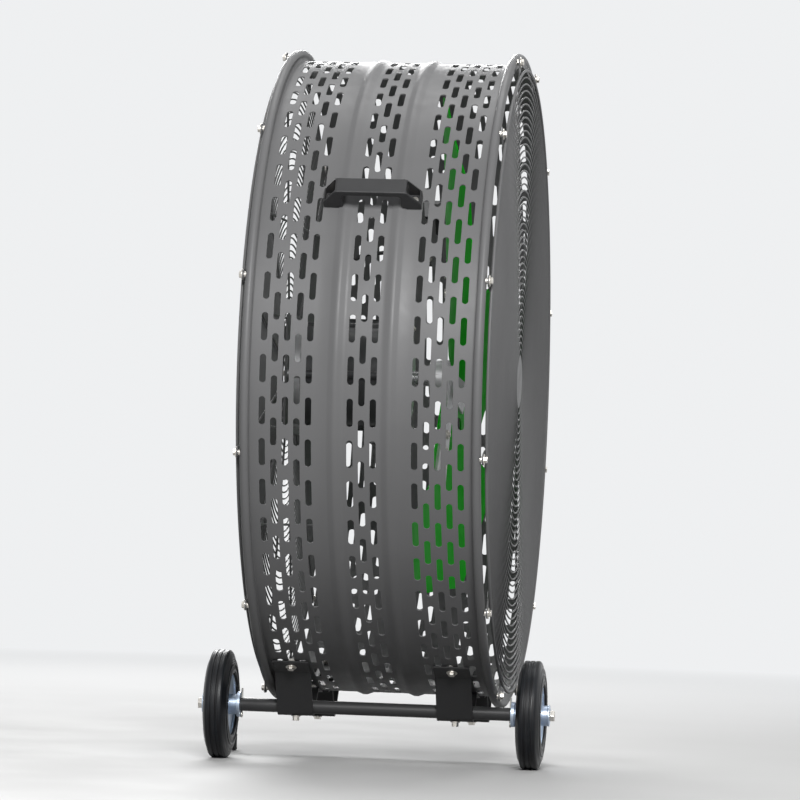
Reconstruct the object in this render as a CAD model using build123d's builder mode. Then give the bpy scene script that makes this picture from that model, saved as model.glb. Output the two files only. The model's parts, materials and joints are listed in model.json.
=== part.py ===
from build123d import *
import math
import os

# A wheeled drum fan, standing on the floor. Lengths are millimetres, angles degrees.
# X is the fan's axis, and the air leaves at +X, the front. The pull handle and the wheels are on
# the -Y side, called near, and the feet and the switch box on the +Y side, called far.
# The origin is the middle of the base, on the floor. Distances along the fan's axis are measured
# from the middle of the drum. Angles round the drum start level on the near side and climb:
# 90 is the top, 180 is level on the far side, and -90 is the bottom.

# Fits
running_gap = 0.05      # radial, round shafts and axles
press_gap = 0.05        # radial, round pieces that are held
bolt_gap = 0.3          # radial, round a bolt's shank
body_gap = 0.3          # between pieces that move past each other
seat_gap = 0.1          # between a flat nut and the curved wall that it sits on

# Drum
axis_height = 646.5
drum_x = 9.0            # the drum's middle, ahead of the middle of the base
shell_radius = 533.5
shell_wall = 2.0
shell_length = 380.0
rib_place = 43.6        # from the middle to each rib's crest
rib_width = 21.0
rib_height = 4.0
slot_rows = 50
slot_length = 45.3
slot_width = 10.4
slot_corner = 3.0       # the slots' ends, cut as half octagons
slot_column = 18.5      # from one column of slots to the next
slot_band = 122.0       # from the middle to the middle column of each outer band
slot_phase = -0.75      # angle of a slot in the even columns

# Rims: a tube rolled from the sheet at each end of the drum
rim_tube = 7.5
rim_bore = 6.0
rim_rise = 12.0         # from the shell out to the tube's centre line
rim_inset = 4.5         # from the end of the shell in to the tube's centre line
neck_width = 9.5
neck_height = 7.0

# Guards
bolt_count = 12
bolt_phase = 15.0
ring_count = 43
ring_pitch = 11.2
ring_wire = 3.0
outer_ring_wire = 5.0
ring_sides = 8           # the rings' wires have flats, one of them on the spokes
outer_ring_drop = 20.5  # from the bolt circle in to the outermost ring
spoke_wire = 4.0
spoke_start = 20.0
tab_width = 18.0
tab_reach = 26.5        # from the bolt circle in to the tab's inner end
tab_thickness = 2.0
insert_radius = 5.0
insert_length = 8.0
centre_plate_radius = 45.0
centre_plate_thickness = 2.0

# Fasteners of the frame and guards
bolt_radius = 3.0
head_flats = 10.0
head_height = 4.2
washer_radius = 9.0
washer_thickness = 1.6
nut_height = 5.0
bolt_overhang = 2.5     # shank past its nut

# Motor
rod_wire = 4.0
rod_heights = (93.0, 255.0)
plate_size = 200.0
plate_thickness = 4.0
motor_radius = 84.0
motor_wall = 4.0
rear_bell_length = 20.0
housing_length = 155.0
front_bell_length = 22.0
bell_round = 8.0
ear_count = 4
ear_radius = 7.0
ear_circle = 84.5
through_bolt_radius = 2.5
through_head_radius = 5.0
through_head_height = 3.5
bearing_radius = 26.0
bearing_width = 15.0
bearing_shoulder = 2.0
shaft_radius = 12.5
shaft_chamfer = 1.0
stator_start = 45.0     # from the motor's rear face
stator_length = 90.0
stator_bore = 48.5
air_gap = 0.5
winding_inner = 52.0
winding_outer = 74.0
winding_length = 18.0

# Terminal box on the motor
terminal_angle = 120.0
terminal_start = 83.0   # from the motor's rear face
terminal_length = 58.0
terminal_width = 50.0
terminal_height = 14.0
terminal_wall = 3.0
terminal_lid_thickness = 3.0
terminal_screw_x = 15.0
terminal_screw_y = 18.5
nozzle_radius = 7.0
nozzle_length = 8.0

# Fan: hub with an arm for each blade, and bent sheet blades
blade_count = 3
blade_phase = -52.7     # the first blade's radial line
blade_pitch = -8.4      # the chord's angle from the plane of rotation
blade_x = 77.5          # where the blade meets its radial line
blade_middle = 155.0    # how far out that is
blade_bend = 345.0      # radius of the bend, hollow towards the outlet
blade_skew = 16.8       # from the radial line to the line that the sheet is bent along
blade_sheet = 460.0     # width of the sheet that a blade is cut from
blade_outline = ((-204, 55), (52, 55), (30, 241), (173, 478), (33, 478), (-94, 372))  # along the chord, outwards
blade_thickness = 2.5
blade_tip = 478.0
blade_corner = 30.0
hub_radius = 32.0
hub_length = 60.0
arm_width = 50.0
arm_thickness = 5.0
arm_end = 215.0
arm_bolts = (120.0, 155.0, 190.0)
arm_bolt_radius = 4.0
arm_head_radius = 8.0
arm_head_height = 4.0
shaft_overhang = 3.0

# Pull handle
handle_angle = 30.0
handle_width = 28.0
handle_height = 46.0
handle_top = 57.0       # half length of the bar's flat
handle_foot = 79.0      # half length at the drum
handle_heel = 13.5      # height of the square end
handle_opening = 47.5   # half length of the finger gap
handle_bar = 11.5
handle_round = 8.0
handle_edge = 2.0
handle_wall = 3.0
handle_floor = 5.0
handle_screw = 68.0
screw_head_radius = 5.5
screw_head_height = 3.5
rib_clearance = 0.5

# Base: straps, axle tube and foot tube
strap_places = (133.5, -133.5)  # from the middle of the base
strap_names = ("front", "rear")
strap_width = 60.0
strap_thickness = 4.0
strap_bend = 6.0
tube_radius = 11.0
tube_wall = 2.0
axle_across = 150.0     # the axle tube's centre, out from the middle
axle_up = 90.0
axle_half = 287.5
near_tabs = (63.6, 67.8, 79.0, 84.0)    # below level: end, bend, bend, end
near_bolts = (65.3, 81.5)
foot_across = 110.0
foot_up = 79.0
foot_ends = (-285.5, 236.0)     # in line with the wheels as the near side shows them
foot_bend = 25.0
far_tabs = (66.0, 70.5, 82.5, 87.5)
far_bolts = (68.0, 85.2)
tip_radius = 13.0
tip_height = 28.0
tip_floor = 4.0
tip_edge = 2.0
tube_washer_radius = 8.0
axle_head_height = 7.0
foot_head_height = 4.0

# Wheels
wheel_place = 260.0
wheel_radius = 90.0
tyre_half_width = 20.5
crown_half_width = 12.5
bead_corner = 2.5
tyre_steps = ((20.5, 24.0), (19.0, 22.0), (19.0, 14.0), (17.0, 11.0), (14.5, 3.0))  # half width, depth
tread_groove_start = 3.0
tread_groove_end = 5.5
tread_depth = 1.5
disc_radius = 51.0
disc_place = 12.0
disc_thickness = 1.5
disc_lip = 3.0
tongue_radius = 40.0
sleeve_radius = 17.0
sleeve_inner = 233.0    # from the middle of the base
end_washer_radius = 17.5
end_washer_thickness = 3.0
end_bolt_radius = 5.0
end_bolt_length = 22.0
end_head_flats = 17.0
end_head_height = 8.0
plug_length = 24.0
hub_washer_radius = 20.75
hub_washer_thickness = 6.0
pin_wire = 1.5
pin_above = 16.0
pin_eye = 4.0

# Switch box
box_row = 21            # the row of slots that it is centred on
box_length = 160.0
box_width = 100.0
box_height = 62.0
box_wall = 3.0
box_floor = 8.0
box_round = 8.0
lid_thickness = 3.0
cover_screw_radius = 2.0
cover_head_radius = 3.6
cover_head_height = 2.4
cover_screw_length = 12.0
cover_boss_radius = 4.5
switch_place = 30.0
switch_size = 42.0
switch_depth = 30.0
bushing_radius = 6.0
bushing_height = 6.0
knob_radius = 20.0
knob_height = 16.0
knob_grip = 37.0        # the raised bar that the fingers turn
knob_grip_width = 10.0
spindle_radius = 3.0
gland_place = -40.0
gland_flats = 22.0
gland_flange = 6.0
gland_thread = 8.0
gland_cap_radius = 9.0
gland_cap_length = 12.0
gland_bore = 4.5
gland_throat = 5.5      # wider inside the box

# Motor lead
lead_radius = 3.5
grommet_place = -66.0
grommet_radius = 7.0
grommet_flange = 10.0
grommet_lip = 2.0
tie_places = (200.0, 250.0, 300.0)
tie_thickness = 1.2
tie_width = 4.0

os.makedirs("parts", exist_ok=True)

# Worked out from the sizes above
half = shell_length / 2
cut_radius = shell_radius + rib_height      # where cuts through the shell start
cut_depth = 2 * (rib_height + shell_wall)
shell_inner = shell_radius - shell_wall
row_pitch = 360 / slot_rows
rim_x = half - rim_inset
rim_radius = shell_radius + rim_rise
rim_face = rim_x + rim_tube
spoke_x = rim_face + spoke_wire / 2
ring_seat = spoke_x + spoke_wire / 2
outer_ring_radius = rim_radius - outer_ring_drop
ring_turn = 180 / ring_sides
rod_x = rim_face - rod_wire / 2
plate_x = rod_x - rod_wire / 2
motor_x = plate_x - plate_thickness
bell_x = motor_x - rear_bell_length
front_x = bell_x - housing_length
motor_front = front_x - front_bell_length
stator_x = motor_x - stator_start
hub_x = blade_x - hub_length / 2
box_angle = slot_phase + box_row * row_pitch
tube_bore = tube_radius - tube_wall
fan_axis = Axis((drum_x, 0, axis_height), (1, 0, 0))
ends = (("front", 1), ("rear", -1))


def save(builder, name):
    """Label a finished sub-part and write it."""
    builder.part.label = name
    export_step(builder.part, f"parts/{name}.step")


def radial(angle):
    """The direction outwards from the fan's axis at an angle."""
    turn = math.radians(angle)
    return Vector(0, -math.cos(turn), math.sin(turn))


def tangent(angle):
    """The direction round the drum, in which the angle grows."""
    return radial(angle + 90)


def on_drum(angle, radius, x=0.0):
    """A plane that faces outwards, with its x along the fan's axis and its y round the drum."""
    return Plane(origin=Vector(drum_x + x, 0, axis_height) + radial(angle) * radius,
                 x_dir=(1, 0, 0), z_dir=radial(angle))


def face_plane(side, x):
    """A plane square to the fan's axis, facing out of the front (1) or the rear (-1)."""
    return Plane(origin=(drum_x + side * x, 0, axis_height), x_dir=(0, side, 0), z_dir=(side, 0, 0))


def across(angle, x=0.0):
    """A plane that holds the fan's axis: its x runs along the axis and its y outwards."""
    return Plane(origin=(drum_x + x, 0, axis_height), x_dir=(1, 0, 0), z_dir=-tangent(angle))


def axle_face(side, x):
    """A plane square to the axle at a distance from the middle of the base, facing out."""
    return Plane(origin=(side * x, -axle_across, axle_up), x_dir=(0, side, 0), z_dir=(side, 0, 0))


def ribbed_line(radius):
    """The shell's section over both ribs, at a radius."""
    inner = rib_place - rib_width / 2
    outer = rib_place + rib_width / 2
    Line((-half, radius), (-outer, radius))
    ThreePointArc((-outer, radius), (-rib_place, radius + rib_height), (-inner, radius))
    Line((-inner, radius), (inner, radius))
    ThreePointArc((inner, radius), (rib_place, radius + rib_height), (outer, radius))
    Line((outer, radius), (half, radius))


profile = across(90)

# ---------------------------------------------------------------- drum

# each bolt through the shell: its angle and its place along the axis
strap_bolts = [(angle, place - drum_x) for place in strap_places
               for angle in [-below for below in near_bolts] + [180 + below for below in far_bolts]]
handle_bolts = [(handle_angle, x) for x in (-handle_screw, handle_screw)]
box_bolts = [(box_angle + row * row_pitch / 2, column * slot_column)
             for row in (-1, 1) for column in (-1, 1)]

with BuildPart() as shell:
    with BuildSketch(profile):
        with BuildLine():
            ribbed_line(shell_radius)
            Line((half, shell_radius), (half, shell_inner))
            ribbed_line(shell_inner)
            Line((-half, shell_inner), (-half, shell_radius))
        make_face()
    revolve(axis=fan_axis)
    # slots: the even columns stand at one angle and the odd ones half a row further on
    even_columns = [band * slot_band + step * slot_column for band in (-1, 1) for step in (-2, 0, 2)]
    even_columns += [-slot_column, slot_column]
    odd_columns = [band * slot_band + step * slot_column for band in (-1, 1) for step in (-1, 1)]
    odd_columns += [0]
    long, short = slot_length / 2, slot_width / 2
    for start, columns in ((slot_phase, even_columns), (slot_phase + row_pitch / 2, odd_columns)):
        with BuildSketch(*[on_drum(start + row * row_pitch, cut_radius) for row in range(slot_rows)]):
            with Locations(*[(column, 0) for column in columns]):
                Polygon((-short, slot_corner - long), (slot_corner - short, -long),
                        (short - slot_corner, -long), (short, slot_corner - long),
                        (short, long - slot_corner), (short - slot_corner, long),
                        (slot_corner - short, long), (-short, long - slot_corner), align=None)
        extrude(amount=-cut_depth, mode=Mode.SUBTRACT)
    with BuildSketch(*[on_drum(angle, cut_radius, x)
                       for angle, x in strap_bolts + handle_bolts + box_bolts]):
        Circle(bolt_radius + bolt_gap)
    extrude(amount=-cut_depth, mode=Mode.SUBTRACT)
    with BuildSketch(on_drum(box_angle, cut_radius, grommet_place)):
        Circle(grommet_radius + press_gap)
    extrude(amount=-cut_depth, mode=Mode.SUBTRACT)
save(shell, "drum_shell")

for end, side in ends:
    with BuildPart() as rim:
        with BuildSketch(profile):
            with Locations((side * rim_x, rim_radius)):
                Circle(rim_tube)
            with Locations((side * (half - neck_width / 2), shell_radius)):
                Rectangle(neck_width, neck_height, align=(Align.CENTER, Align.MIN))
            with Locations((side * rim_x, rim_radius)):
                Circle(rim_bore, mode=Mode.SUBTRACT)
        revolve(axis=fan_axis)
        with BuildSketch(face_plane(side, rim_x)):
            with PolarLocations(rim_radius, bolt_count, bolt_phase):
                Circle(insert_radius + press_gap)
        extrude(amount=2 * rim_tube, mode=Mode.SUBTRACT)
    save(rim, f"{end}_rim")

# ---------------------------------------------------------------- guards

for end, side in ends:
    with BuildPart() as rings:
        with BuildSketch(profile):
            with Locations((side * (ring_seat + outer_ring_wire / 2), outer_ring_radius)):
                RegularPolygon(outer_ring_wire / 2, ring_sides, major_radius=False, rotation=ring_turn)
            with Locations(*[(side * (ring_seat + ring_wire / 2), outer_ring_radius - turn * ring_pitch)
                             for turn in range(1, ring_count)]):
                RegularPolygon(ring_wire / 2, ring_sides, major_radius=False, rotation=ring_turn)
        revolve(axis=fan_axis)
    save(rings, f"{end}_guard_rings")

    with BuildPart() as spokes:
        with BuildSketch(*[on_drum(bolt_phase + turn * 360 / bolt_count, spoke_start, side * spoke_x)
                           for turn in range(bolt_count)]):
            Circle(spoke_wire / 2)
        extrude(amount=rim_radius - tab_reach - body_gap - spoke_start)
    save(spokes, f"{end}_guard_spokes")

    with BuildPart() as tabs:
        with BuildSketch(face_plane(side, ring_seat - tab_thickness)):
            with PolarLocations(rim_radius, bolt_count, bolt_phase):
                Circle(tab_width / 2)
                Rectangle(tab_reach, tab_width, align=(Align.MAX, Align.CENTER))
                Circle(bolt_radius + bolt_gap, mode=Mode.SUBTRACT)
        extrude(amount=tab_thickness)
    save(tabs, f"{end}_guard_tabs")

with BuildPart() as centre_plate:
    with BuildSketch(face_plane(1, ring_seat)):
        Circle(centre_plate_radius)
    extrude(amount=centre_plate_thickness)
save(centre_plate, "front_centre_plate")

with BuildPart() as inserts:
    with BuildSketch(*[face_plane(side, ring_seat - tab_thickness) for end, side in ends]):
        with PolarLocations(rim_radius, bolt_count, bolt_phase):
            Circle(insert_radius)
            Circle(bolt_radius + press_gap, mode=Mode.SUBTRACT)
    extrude(amount=-insert_length)
save(inserts, "rim_inserts")

with BuildPart() as guard_washers:
    with BuildSketch(*[face_plane(side, ring_seat) for end, side in ends]):
        with PolarLocations(rim_radius, bolt_count, bolt_phase):
            Circle(washer_radius)
            Circle(bolt_radius + bolt_gap, mode=Mode.SUBTRACT)
    extrude(amount=washer_thickness)
save(guard_washers, "guard_washers")

with BuildPart() as guard_bolts:
    with BuildSketch(*[face_plane(side, ring_seat + washer_thickness) for end, side in ends]):
        with PolarLocations(rim_radius, bolt_count, bolt_phase):
            RegularPolygon(head_flats / 2, 6, major_radius=False)
    extrude(amount=head_height)
    with BuildSketch(*[face_plane(side, ring_seat + washer_thickness) for end, side in ends]):
        with PolarLocations(rim_radius, bolt_count, bolt_phase):
            Circle(bolt_radius)
    extrude(amount=-(washer_thickness + tab_thickness + insert_length))
save(guard_bolts, "guard_bolts")

# ---------------------------------------------------------------- motor and what carries it

with BuildPart() as cross_rods:
    for height in rod_heights:
        for rise in (-height, height):
            with BuildSketch(Plane(origin=(drum_x - rod_x, 0, axis_height + rise), z_dir=(0, 1, 0))):
                Circle(rod_wire / 2)
            reach = math.sqrt(shell_inner ** 2 - (height + rod_wire / 2) ** 2) - seat_gap
            extrude(amount=reach, both=True)
save(cross_rods, "rear_cross_rods")

with BuildPart() as motor_plate:
    with BuildSketch(face_plane(1, -plate_x)):
        RectangleRounded(plate_size, plate_size, ear_radius)
        with PolarLocations(ear_circle, ear_count):
            Circle(through_bolt_radius + bolt_gap, mode=Mode.SUBTRACT)
    extrude(amount=plate_thickness)
save(motor_plate, "motor_plate")

with BuildPart() as rear_bell:
    with BuildSketch(face_plane(1, -motor_x)):
        Circle(motor_radius)
    extrude(amount=rear_bell_length)
    fillet(rear_bell.edges().sort_by(Axis.X)[0], bell_round)
    with BuildSketch(face_plane(1, -motor_x)):
        with PolarLocations(ear_circle, ear_count):
            Circle(ear_radius)
    extrude(amount=rear_bell_length)
    with BuildSketch(face_plane(1, -bell_x)):
        Circle(bearing_radius + press_gap)
    extrude(amount=bearing_shoulder - bearing_width, mode=Mode.SUBTRACT)
    with BuildSketch(face_plane(1, -bell_x)):
        Circle(bearing_radius - 2 * bearing_shoulder)
    extrude(amount=-bearing_width, mode=Mode.SUBTRACT)
    with BuildSketch(face_plane(1, -motor_x)):
        with PolarLocations(ear_circle, ear_count):
            Circle(through_bolt_radius + bolt_gap)
    extrude(amount=rear_bell_length, mode=Mode.SUBTRACT)
save(rear_bell, "motor_rear_bell")

terminal_x = -motor_x + terminal_start + terminal_length / 2
with BuildPart() as housing:
    with BuildSketch(face_plane(1, -bell_x)):
        Circle(motor_radius)
        with PolarLocations(ear_circle, ear_count):
            Circle(ear_radius)
        Circle(motor_radius - motor_wall, mode=Mode.SUBTRACT)
        with PolarLocations(ear_circle, ear_count):
            Circle(through_bolt_radius + bolt_gap, mode=Mode.SUBTRACT)
    extrude(amount=housing_length)
    with BuildSketch(on_drum(terminal_angle, 0, terminal_x)):
        Circle(nozzle_radius)
    extrude(amount=2 * motor_radius, mode=Mode.SUBTRACT)
save(housing, "motor_housing")

with BuildPart() as front_bell:
    with BuildSketch(face_plane(1, -front_x)):
        Circle(motor_radius)
    extrude(amount=front_bell_length)
    fillet(front_bell.edges().sort_by(Axis.X)[-1], bell_round)
    with BuildSketch(face_plane(1, -front_x)):
        with PolarLocations(ear_circle, ear_count):
            Circle(ear_radius)
    extrude(amount=front_bell_length)
    with BuildSketch(face_plane(1, -front_x)):
        Circle(bearing_radius + press_gap)
    extrude(amount=front_bell_length - bearing_shoulder, mode=Mode.SUBTRACT)
    with BuildSketch(face_plane(1, -front_x)):
        Circle(shaft_radius + bearing_shoulder)
    extrude(amount=front_bell_length, mode=Mode.SUBTRACT)
    with BuildSketch(face_plane(1, -front_x)):
        with PolarLocations(ear_circle, ear_count):
            Circle(through_bolt_radius + bolt_gap)
    extrude(amount=front_bell_length, mode=Mode.SUBTRACT)
save(front_bell, "motor_front_bell")

bearing_starts = (-bell_x + bearing_shoulder - bearing_width, -motor_front - bearing_shoulder - bearing_width)
with BuildPart() as bearings:
    with BuildSketch(*[face_plane(1, start) for start in bearing_starts]):
        Circle(bearing_radius)
        Circle(shaft_radius + running_gap, mode=Mode.SUBTRACT)
    extrude(amount=bearing_width)
save(bearings, "motor_bearings")

with BuildPart() as through_bolts:
    stack = motor_x - motor_front + plate_thickness
    with BuildSketch(face_plane(-1, plate_x)):
        with PolarLocations(ear_circle, ear_count):
            RegularPolygon(through_head_radius, 6)
    extrude(amount=through_head_height)
    with BuildSketch(face_plane(-1, plate_x)):
        with PolarLocations(ear_circle, ear_count):
            Circle(through_bolt_radius)
    extrude(amount=-(stack + nut_height + bolt_overhang))
    with BuildSketch(face_plane(1, -motor_front)):
        with PolarLocations(ear_circle, ear_count):
            RegularPolygon(through_head_radius, 6)
            Circle(through_bolt_radius + press_gap, mode=Mode.SUBTRACT)
    extrude(amount=nut_height)
save(through_bolts, "motor_bolts")

with BuildPart() as stator:
    with BuildSketch(face_plane(1, -stator_x)):
        Circle(motor_radius - motor_wall - press_gap)
        Circle(stator_bore, mode=Mode.SUBTRACT)
    extrude(amount=stator_length)
save(stator, "motor_stator")

with BuildPart() as windings:
    with BuildSketch(profile):
        for middle in (-stator_x - winding_length / 2, stator_length - stator_x + winding_length / 2):
            with Locations((middle, (winding_inner + winding_outer) / 2)):
                RectangleRounded(winding_length, winding_outer - winding_inner, motor_wall)
    revolve(axis=fan_axis)
save(windings, "stator_windings")

# The terminal box is a saddle on the motor, with its lid screwed into four bosses.
terminal_seat = motor_radius + terminal_wall
terminal_top = motor_radius + terminal_height
terminal_screws = [(x, y) for x in (-terminal_screw_x, terminal_screw_x)
                   for y in (-terminal_screw_y, terminal_screw_y)]
nozzle_x = terminal_x - terminal_length / 2
nozzle_up = (terminal_seat + terminal_top) / 2
nozzle_plane = Plane(origin=on_drum(terminal_angle, nozzle_up, nozzle_x).origin,
                     z_dir=(-1, 0, 0))
with BuildPart() as terminal_box:
    with BuildSketch(on_drum(terminal_angle, terminal_top, terminal_x)):
        RectangleRounded(terminal_length, terminal_width, terminal_wall)
    extrude(amount=terminal_width / 2 - terminal_top)
    with BuildSketch(on_drum(terminal_angle, terminal_top, terminal_x)):
        Rectangle(terminal_length - 2 * terminal_wall, terminal_width - 2 * terminal_wall)
    extrude(amount=terminal_seat - terminal_top, mode=Mode.SUBTRACT)
    with BuildSketch(on_drum(terminal_angle, terminal_top, terminal_x)):
        with Locations(*terminal_screws):
            Circle(cover_boss_radius)
            Circle(cover_screw_radius + press_gap, mode=Mode.SUBTRACT)
    extrude(amount=terminal_seat - terminal_top)
    with BuildSketch(nozzle_plane):
        Circle(nozzle_radius)
    extrude(amount=nozzle_length)
    with BuildSketch(nozzle_plane):
        Circle(lead_radius + press_gap)
    extrude(amount=nozzle_length, both=True, mode=Mode.SUBTRACT)
    with BuildSketch(on_drum(terminal_angle, 0, terminal_x)):
        Circle(nozzle_radius)
    extrude(amount=terminal_seat + terminal_wall, mode=Mode.SUBTRACT)
    with BuildSketch(face_plane(1, nozzle_x - nozzle_length)):
        Circle(motor_radius)
    extrude(amount=terminal_length + 2 * nozzle_length, mode=Mode.SUBTRACT)
save(terminal_box, "terminal_box")

with BuildPart() as terminal_lid:
    with BuildSketch(on_drum(terminal_angle, terminal_top, terminal_x)):
        RectangleRounded(terminal_length, terminal_width, terminal_wall)
        with Locations(*terminal_screws):
            Circle(cover_screw_radius + press_gap, mode=Mode.SUBTRACT)
    extrude(amount=terminal_lid_thickness)
save(terminal_lid, "terminal_lid")

# ---------------------------------------------------------------- fan and shaft

shaft_x = -bell_x + bearing_shoulder - bearing_width
with BuildPart() as shaft:
    with BuildSketch(face_plane(1, shaft_x)):
        Circle(shaft_radius)
    extrude(amount=hub_x + hub_length + shaft_overhang - shaft_x)
    chamfer(shaft.edges().filter_by(GeomType.CIRCLE), shaft_chamfer)
save(shaft, "motor_shaft")

with BuildPart() as rotor:
    with BuildSketch(face_plane(1, -stator_x)):
        Circle(stator_bore - air_gap)
        Circle(shaft_radius + press_gap, mode=Mode.SUBTRACT)
    extrude(amount=stator_length)
save(rotor, "motor_rotor")

# A blade is cut from a sheet that is bent to one arc, about a line that leans from the blade's
# radial line. Its arm is a strip of plate bent to fit behind it.
pitch_turn = math.radians(blade_pitch)
skew_turn = math.radians(blade_skew)
arm_back = blade_thickness + arm_thickness
blade_turns = [turn * 360 / blade_count for turn in range(blade_count)]
chord = tangent(blade_phase) * math.cos(pitch_turn) + Vector(1, 0, 0) * math.sin(pitch_turn)
bend_line = radial(blade_phase) * math.cos(skew_turn) + chord * math.sin(skew_turn)
bend_plane = Plane(origin=on_drum(blade_phase, blade_middle, blade_x).origin,
                   x_dir=chord * math.cos(skew_turn) - radial(blade_phase) * math.sin(skew_turn),
                   z_dir=bend_line)
chord_plane = Plane(origin=on_drum(blade_phase, 0, blade_x).origin, x_dir=chord,
                    z_dir=chord.cross(radial(blade_phase)))


def bent_sheet(outer, inner):
    """The section of the bent sheet, between two radii of its bend."""
    turn = math.asin(blade_sheet / 2 / blade_bend)
    arcs = []
    for bend in (outer, inner):
        away, up = bend * math.sin(turn), bend * math.cos(turn) - blade_bend
        arcs.append(((-away, up), (0, bend - blade_bend), (away, up)))
    ThreePointArc(*arcs[0])
    Line(arcs[0][2], arcs[1][2])
    ThreePointArc(*arcs[1])
    Line(arcs[1][0], arcs[0][0])


def bolt_plane(radius):
    """Where a bolt's head sits on the blade's inlet side, facing away from the blade."""
    along = (radius - blade_middle) * math.cos(skew_turn)
    turn = math.asin((blade_middle - radius) * math.sin(skew_turn) / blade_bend)
    away, up = blade_bend * math.sin(turn), blade_bend * (math.cos(turn) - 1)
    return Plane(origin=bend_plane.origin + bend_plane.x_dir * away + bend_plane.y_dir * up + bend_line * along,
                 x_dir=bend_line, z_dir=bend_plane.x_dir * math.sin(turn) + bend_plane.y_dir * math.cos(turn))


bolt_planes = [bolt_plane(radius) for radius in arm_bolts]
nut_seat = arm_back + arm_head_radius ** 2 / (2 * (blade_bend - arm_back))  # its corners rest in the bend
with BuildPart() as arm:
    with BuildSketch(bend_plane):
        with BuildLine():
            bent_sheet(blade_bend - blade_thickness, blade_bend - arm_back)
        make_face()
    extrude(amount=blade_tip, both=True)
    with BuildSketch(chord_plane):
        Rectangle(arm_width, arm_end, align=(Align.CENTER, Align.MIN))
    extrude(amount=blade_bend, both=True, mode=Mode.INTERSECT)
    with BuildSketch(*bolt_planes):
        Circle(arm_bolt_radius + bolt_gap)
    extrude(amount=-2 * arm_back, mode=Mode.SUBTRACT)

with BuildPart() as hub:
    with BuildSketch(face_plane(1, hub_x)):
        Circle(hub_radius)
    extrude(amount=hub_length)
    add([arm.part.rotate(fan_axis, turn) for turn in blade_turns])
    with BuildSketch(face_plane(1, hub_x)):
        Circle(shaft_radius + press_gap)
    extrude(amount=hub_length, both=True, mode=Mode.SUBTRACT)
save(hub, "fan_hub")

with BuildPart() as blade:
    with BuildSketch(bend_plane):
        with BuildLine():
            bent_sheet(blade_bend, blade_bend - blade_thickness)
        make_face()
    extrude(amount=blade_tip, both=True)
    with BuildSketch(chord_plane) as cut_out:
        Polygon(*blade_outline, align=None)
        Circle(blade_tip, mode=Mode.INTERSECT)
        fillet(cut_out.vertices(), blade_corner)
    extrude(amount=blade_bend, both=True, mode=Mode.INTERSECT)
    with BuildSketch(*bolt_planes):
        Circle(arm_bolt_radius + bolt_gap)
    extrude(amount=-2 * arm_back, mode=Mode.SUBTRACT)

with BuildPart() as blades:
    add([blade.part.rotate(fan_axis, turn) for turn in blade_turns])
save(blades, "fan_blades")

with BuildPart() as blade_bolt:
    with BuildSketch(*bolt_planes):
        Circle(arm_head_radius)
    extrude(amount=arm_head_height)
    with BuildSketch(*bolt_planes):
        Circle(arm_bolt_radius)
    extrude(amount=-(nut_seat + nut_height + bolt_overhang))
    with BuildSketch(*[place.offset(-nut_seat) for place in bolt_planes]):
        RegularPolygon(arm_head_radius, 6)
        Circle(arm_bolt_radius + press_gap, mode=Mode.SUBTRACT)
    extrude(amount=-nut_height)

with BuildPart() as blade_bolts:
    add([blade_bolt.part.rotate(fan_axis, turn) for turn in blade_turns])
save(blade_bolts, "blade_bolts")

# ---------------------------------------------------------------- pull handle

pocket_length = handle_foot - handle_wall - handle_top
with BuildPart() as handle:
    with BuildSketch(across(handle_angle)) as handle_face:
        Polygon((-handle_foot, shell_radius), (-handle_foot, shell_radius + handle_heel),
                (-handle_top, shell_radius + handle_height),
                (handle_top, shell_radius + handle_height),
                (handle_foot, shell_radius + handle_heel), (handle_foot, shell_radius), align=None)
        with Locations((0, shell_radius)):
            Rectangle(2 * handle_opening, 2 * (handle_height - handle_bar), mode=Mode.SUBTRACT)
        corners = handle_face.vertices().group_by(Axis.Y)
        fillet(corners[-1] + corners[-2], handle_round)
    extrude(amount=handle_width / 2, both=True)
    fillet(handle.faces().filter_by(Axis((0, 0, 0), tangent(handle_angle))).edges(), handle_edge)
    rib_end = rib_place + rib_width / 2 + rib_clearance
    with BuildSketch(across(handle_angle)):
        with Locations((0, shell_radius)):
            Rectangle(2 * rib_end, 2 * (rib_height + rib_clearance))
    extrude(amount=handle_width, both=True, mode=Mode.SUBTRACT)
    with BuildSketch(on_drum(handle_angle, shell_radius + handle_floor)):
        with Locations(*[(side * (handle_top + pocket_length / 2), 0) for side in (-1, 1)]):
            RectangleRounded(pocket_length, handle_width - 2 * handle_wall, handle_wall)
    extrude(amount=handle_height, mode=Mode.SUBTRACT)
    with BuildSketch(on_drum(handle_angle, shell_radius)):
        with Locations((-handle_screw, 0), (handle_screw, 0)):
            Circle(bolt_radius + bolt_gap)
    extrude(amount=handle_floor, mode=Mode.SUBTRACT)
save(handle, "carry_handle")

# ---------------------------------------------------------------- switch box

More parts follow.
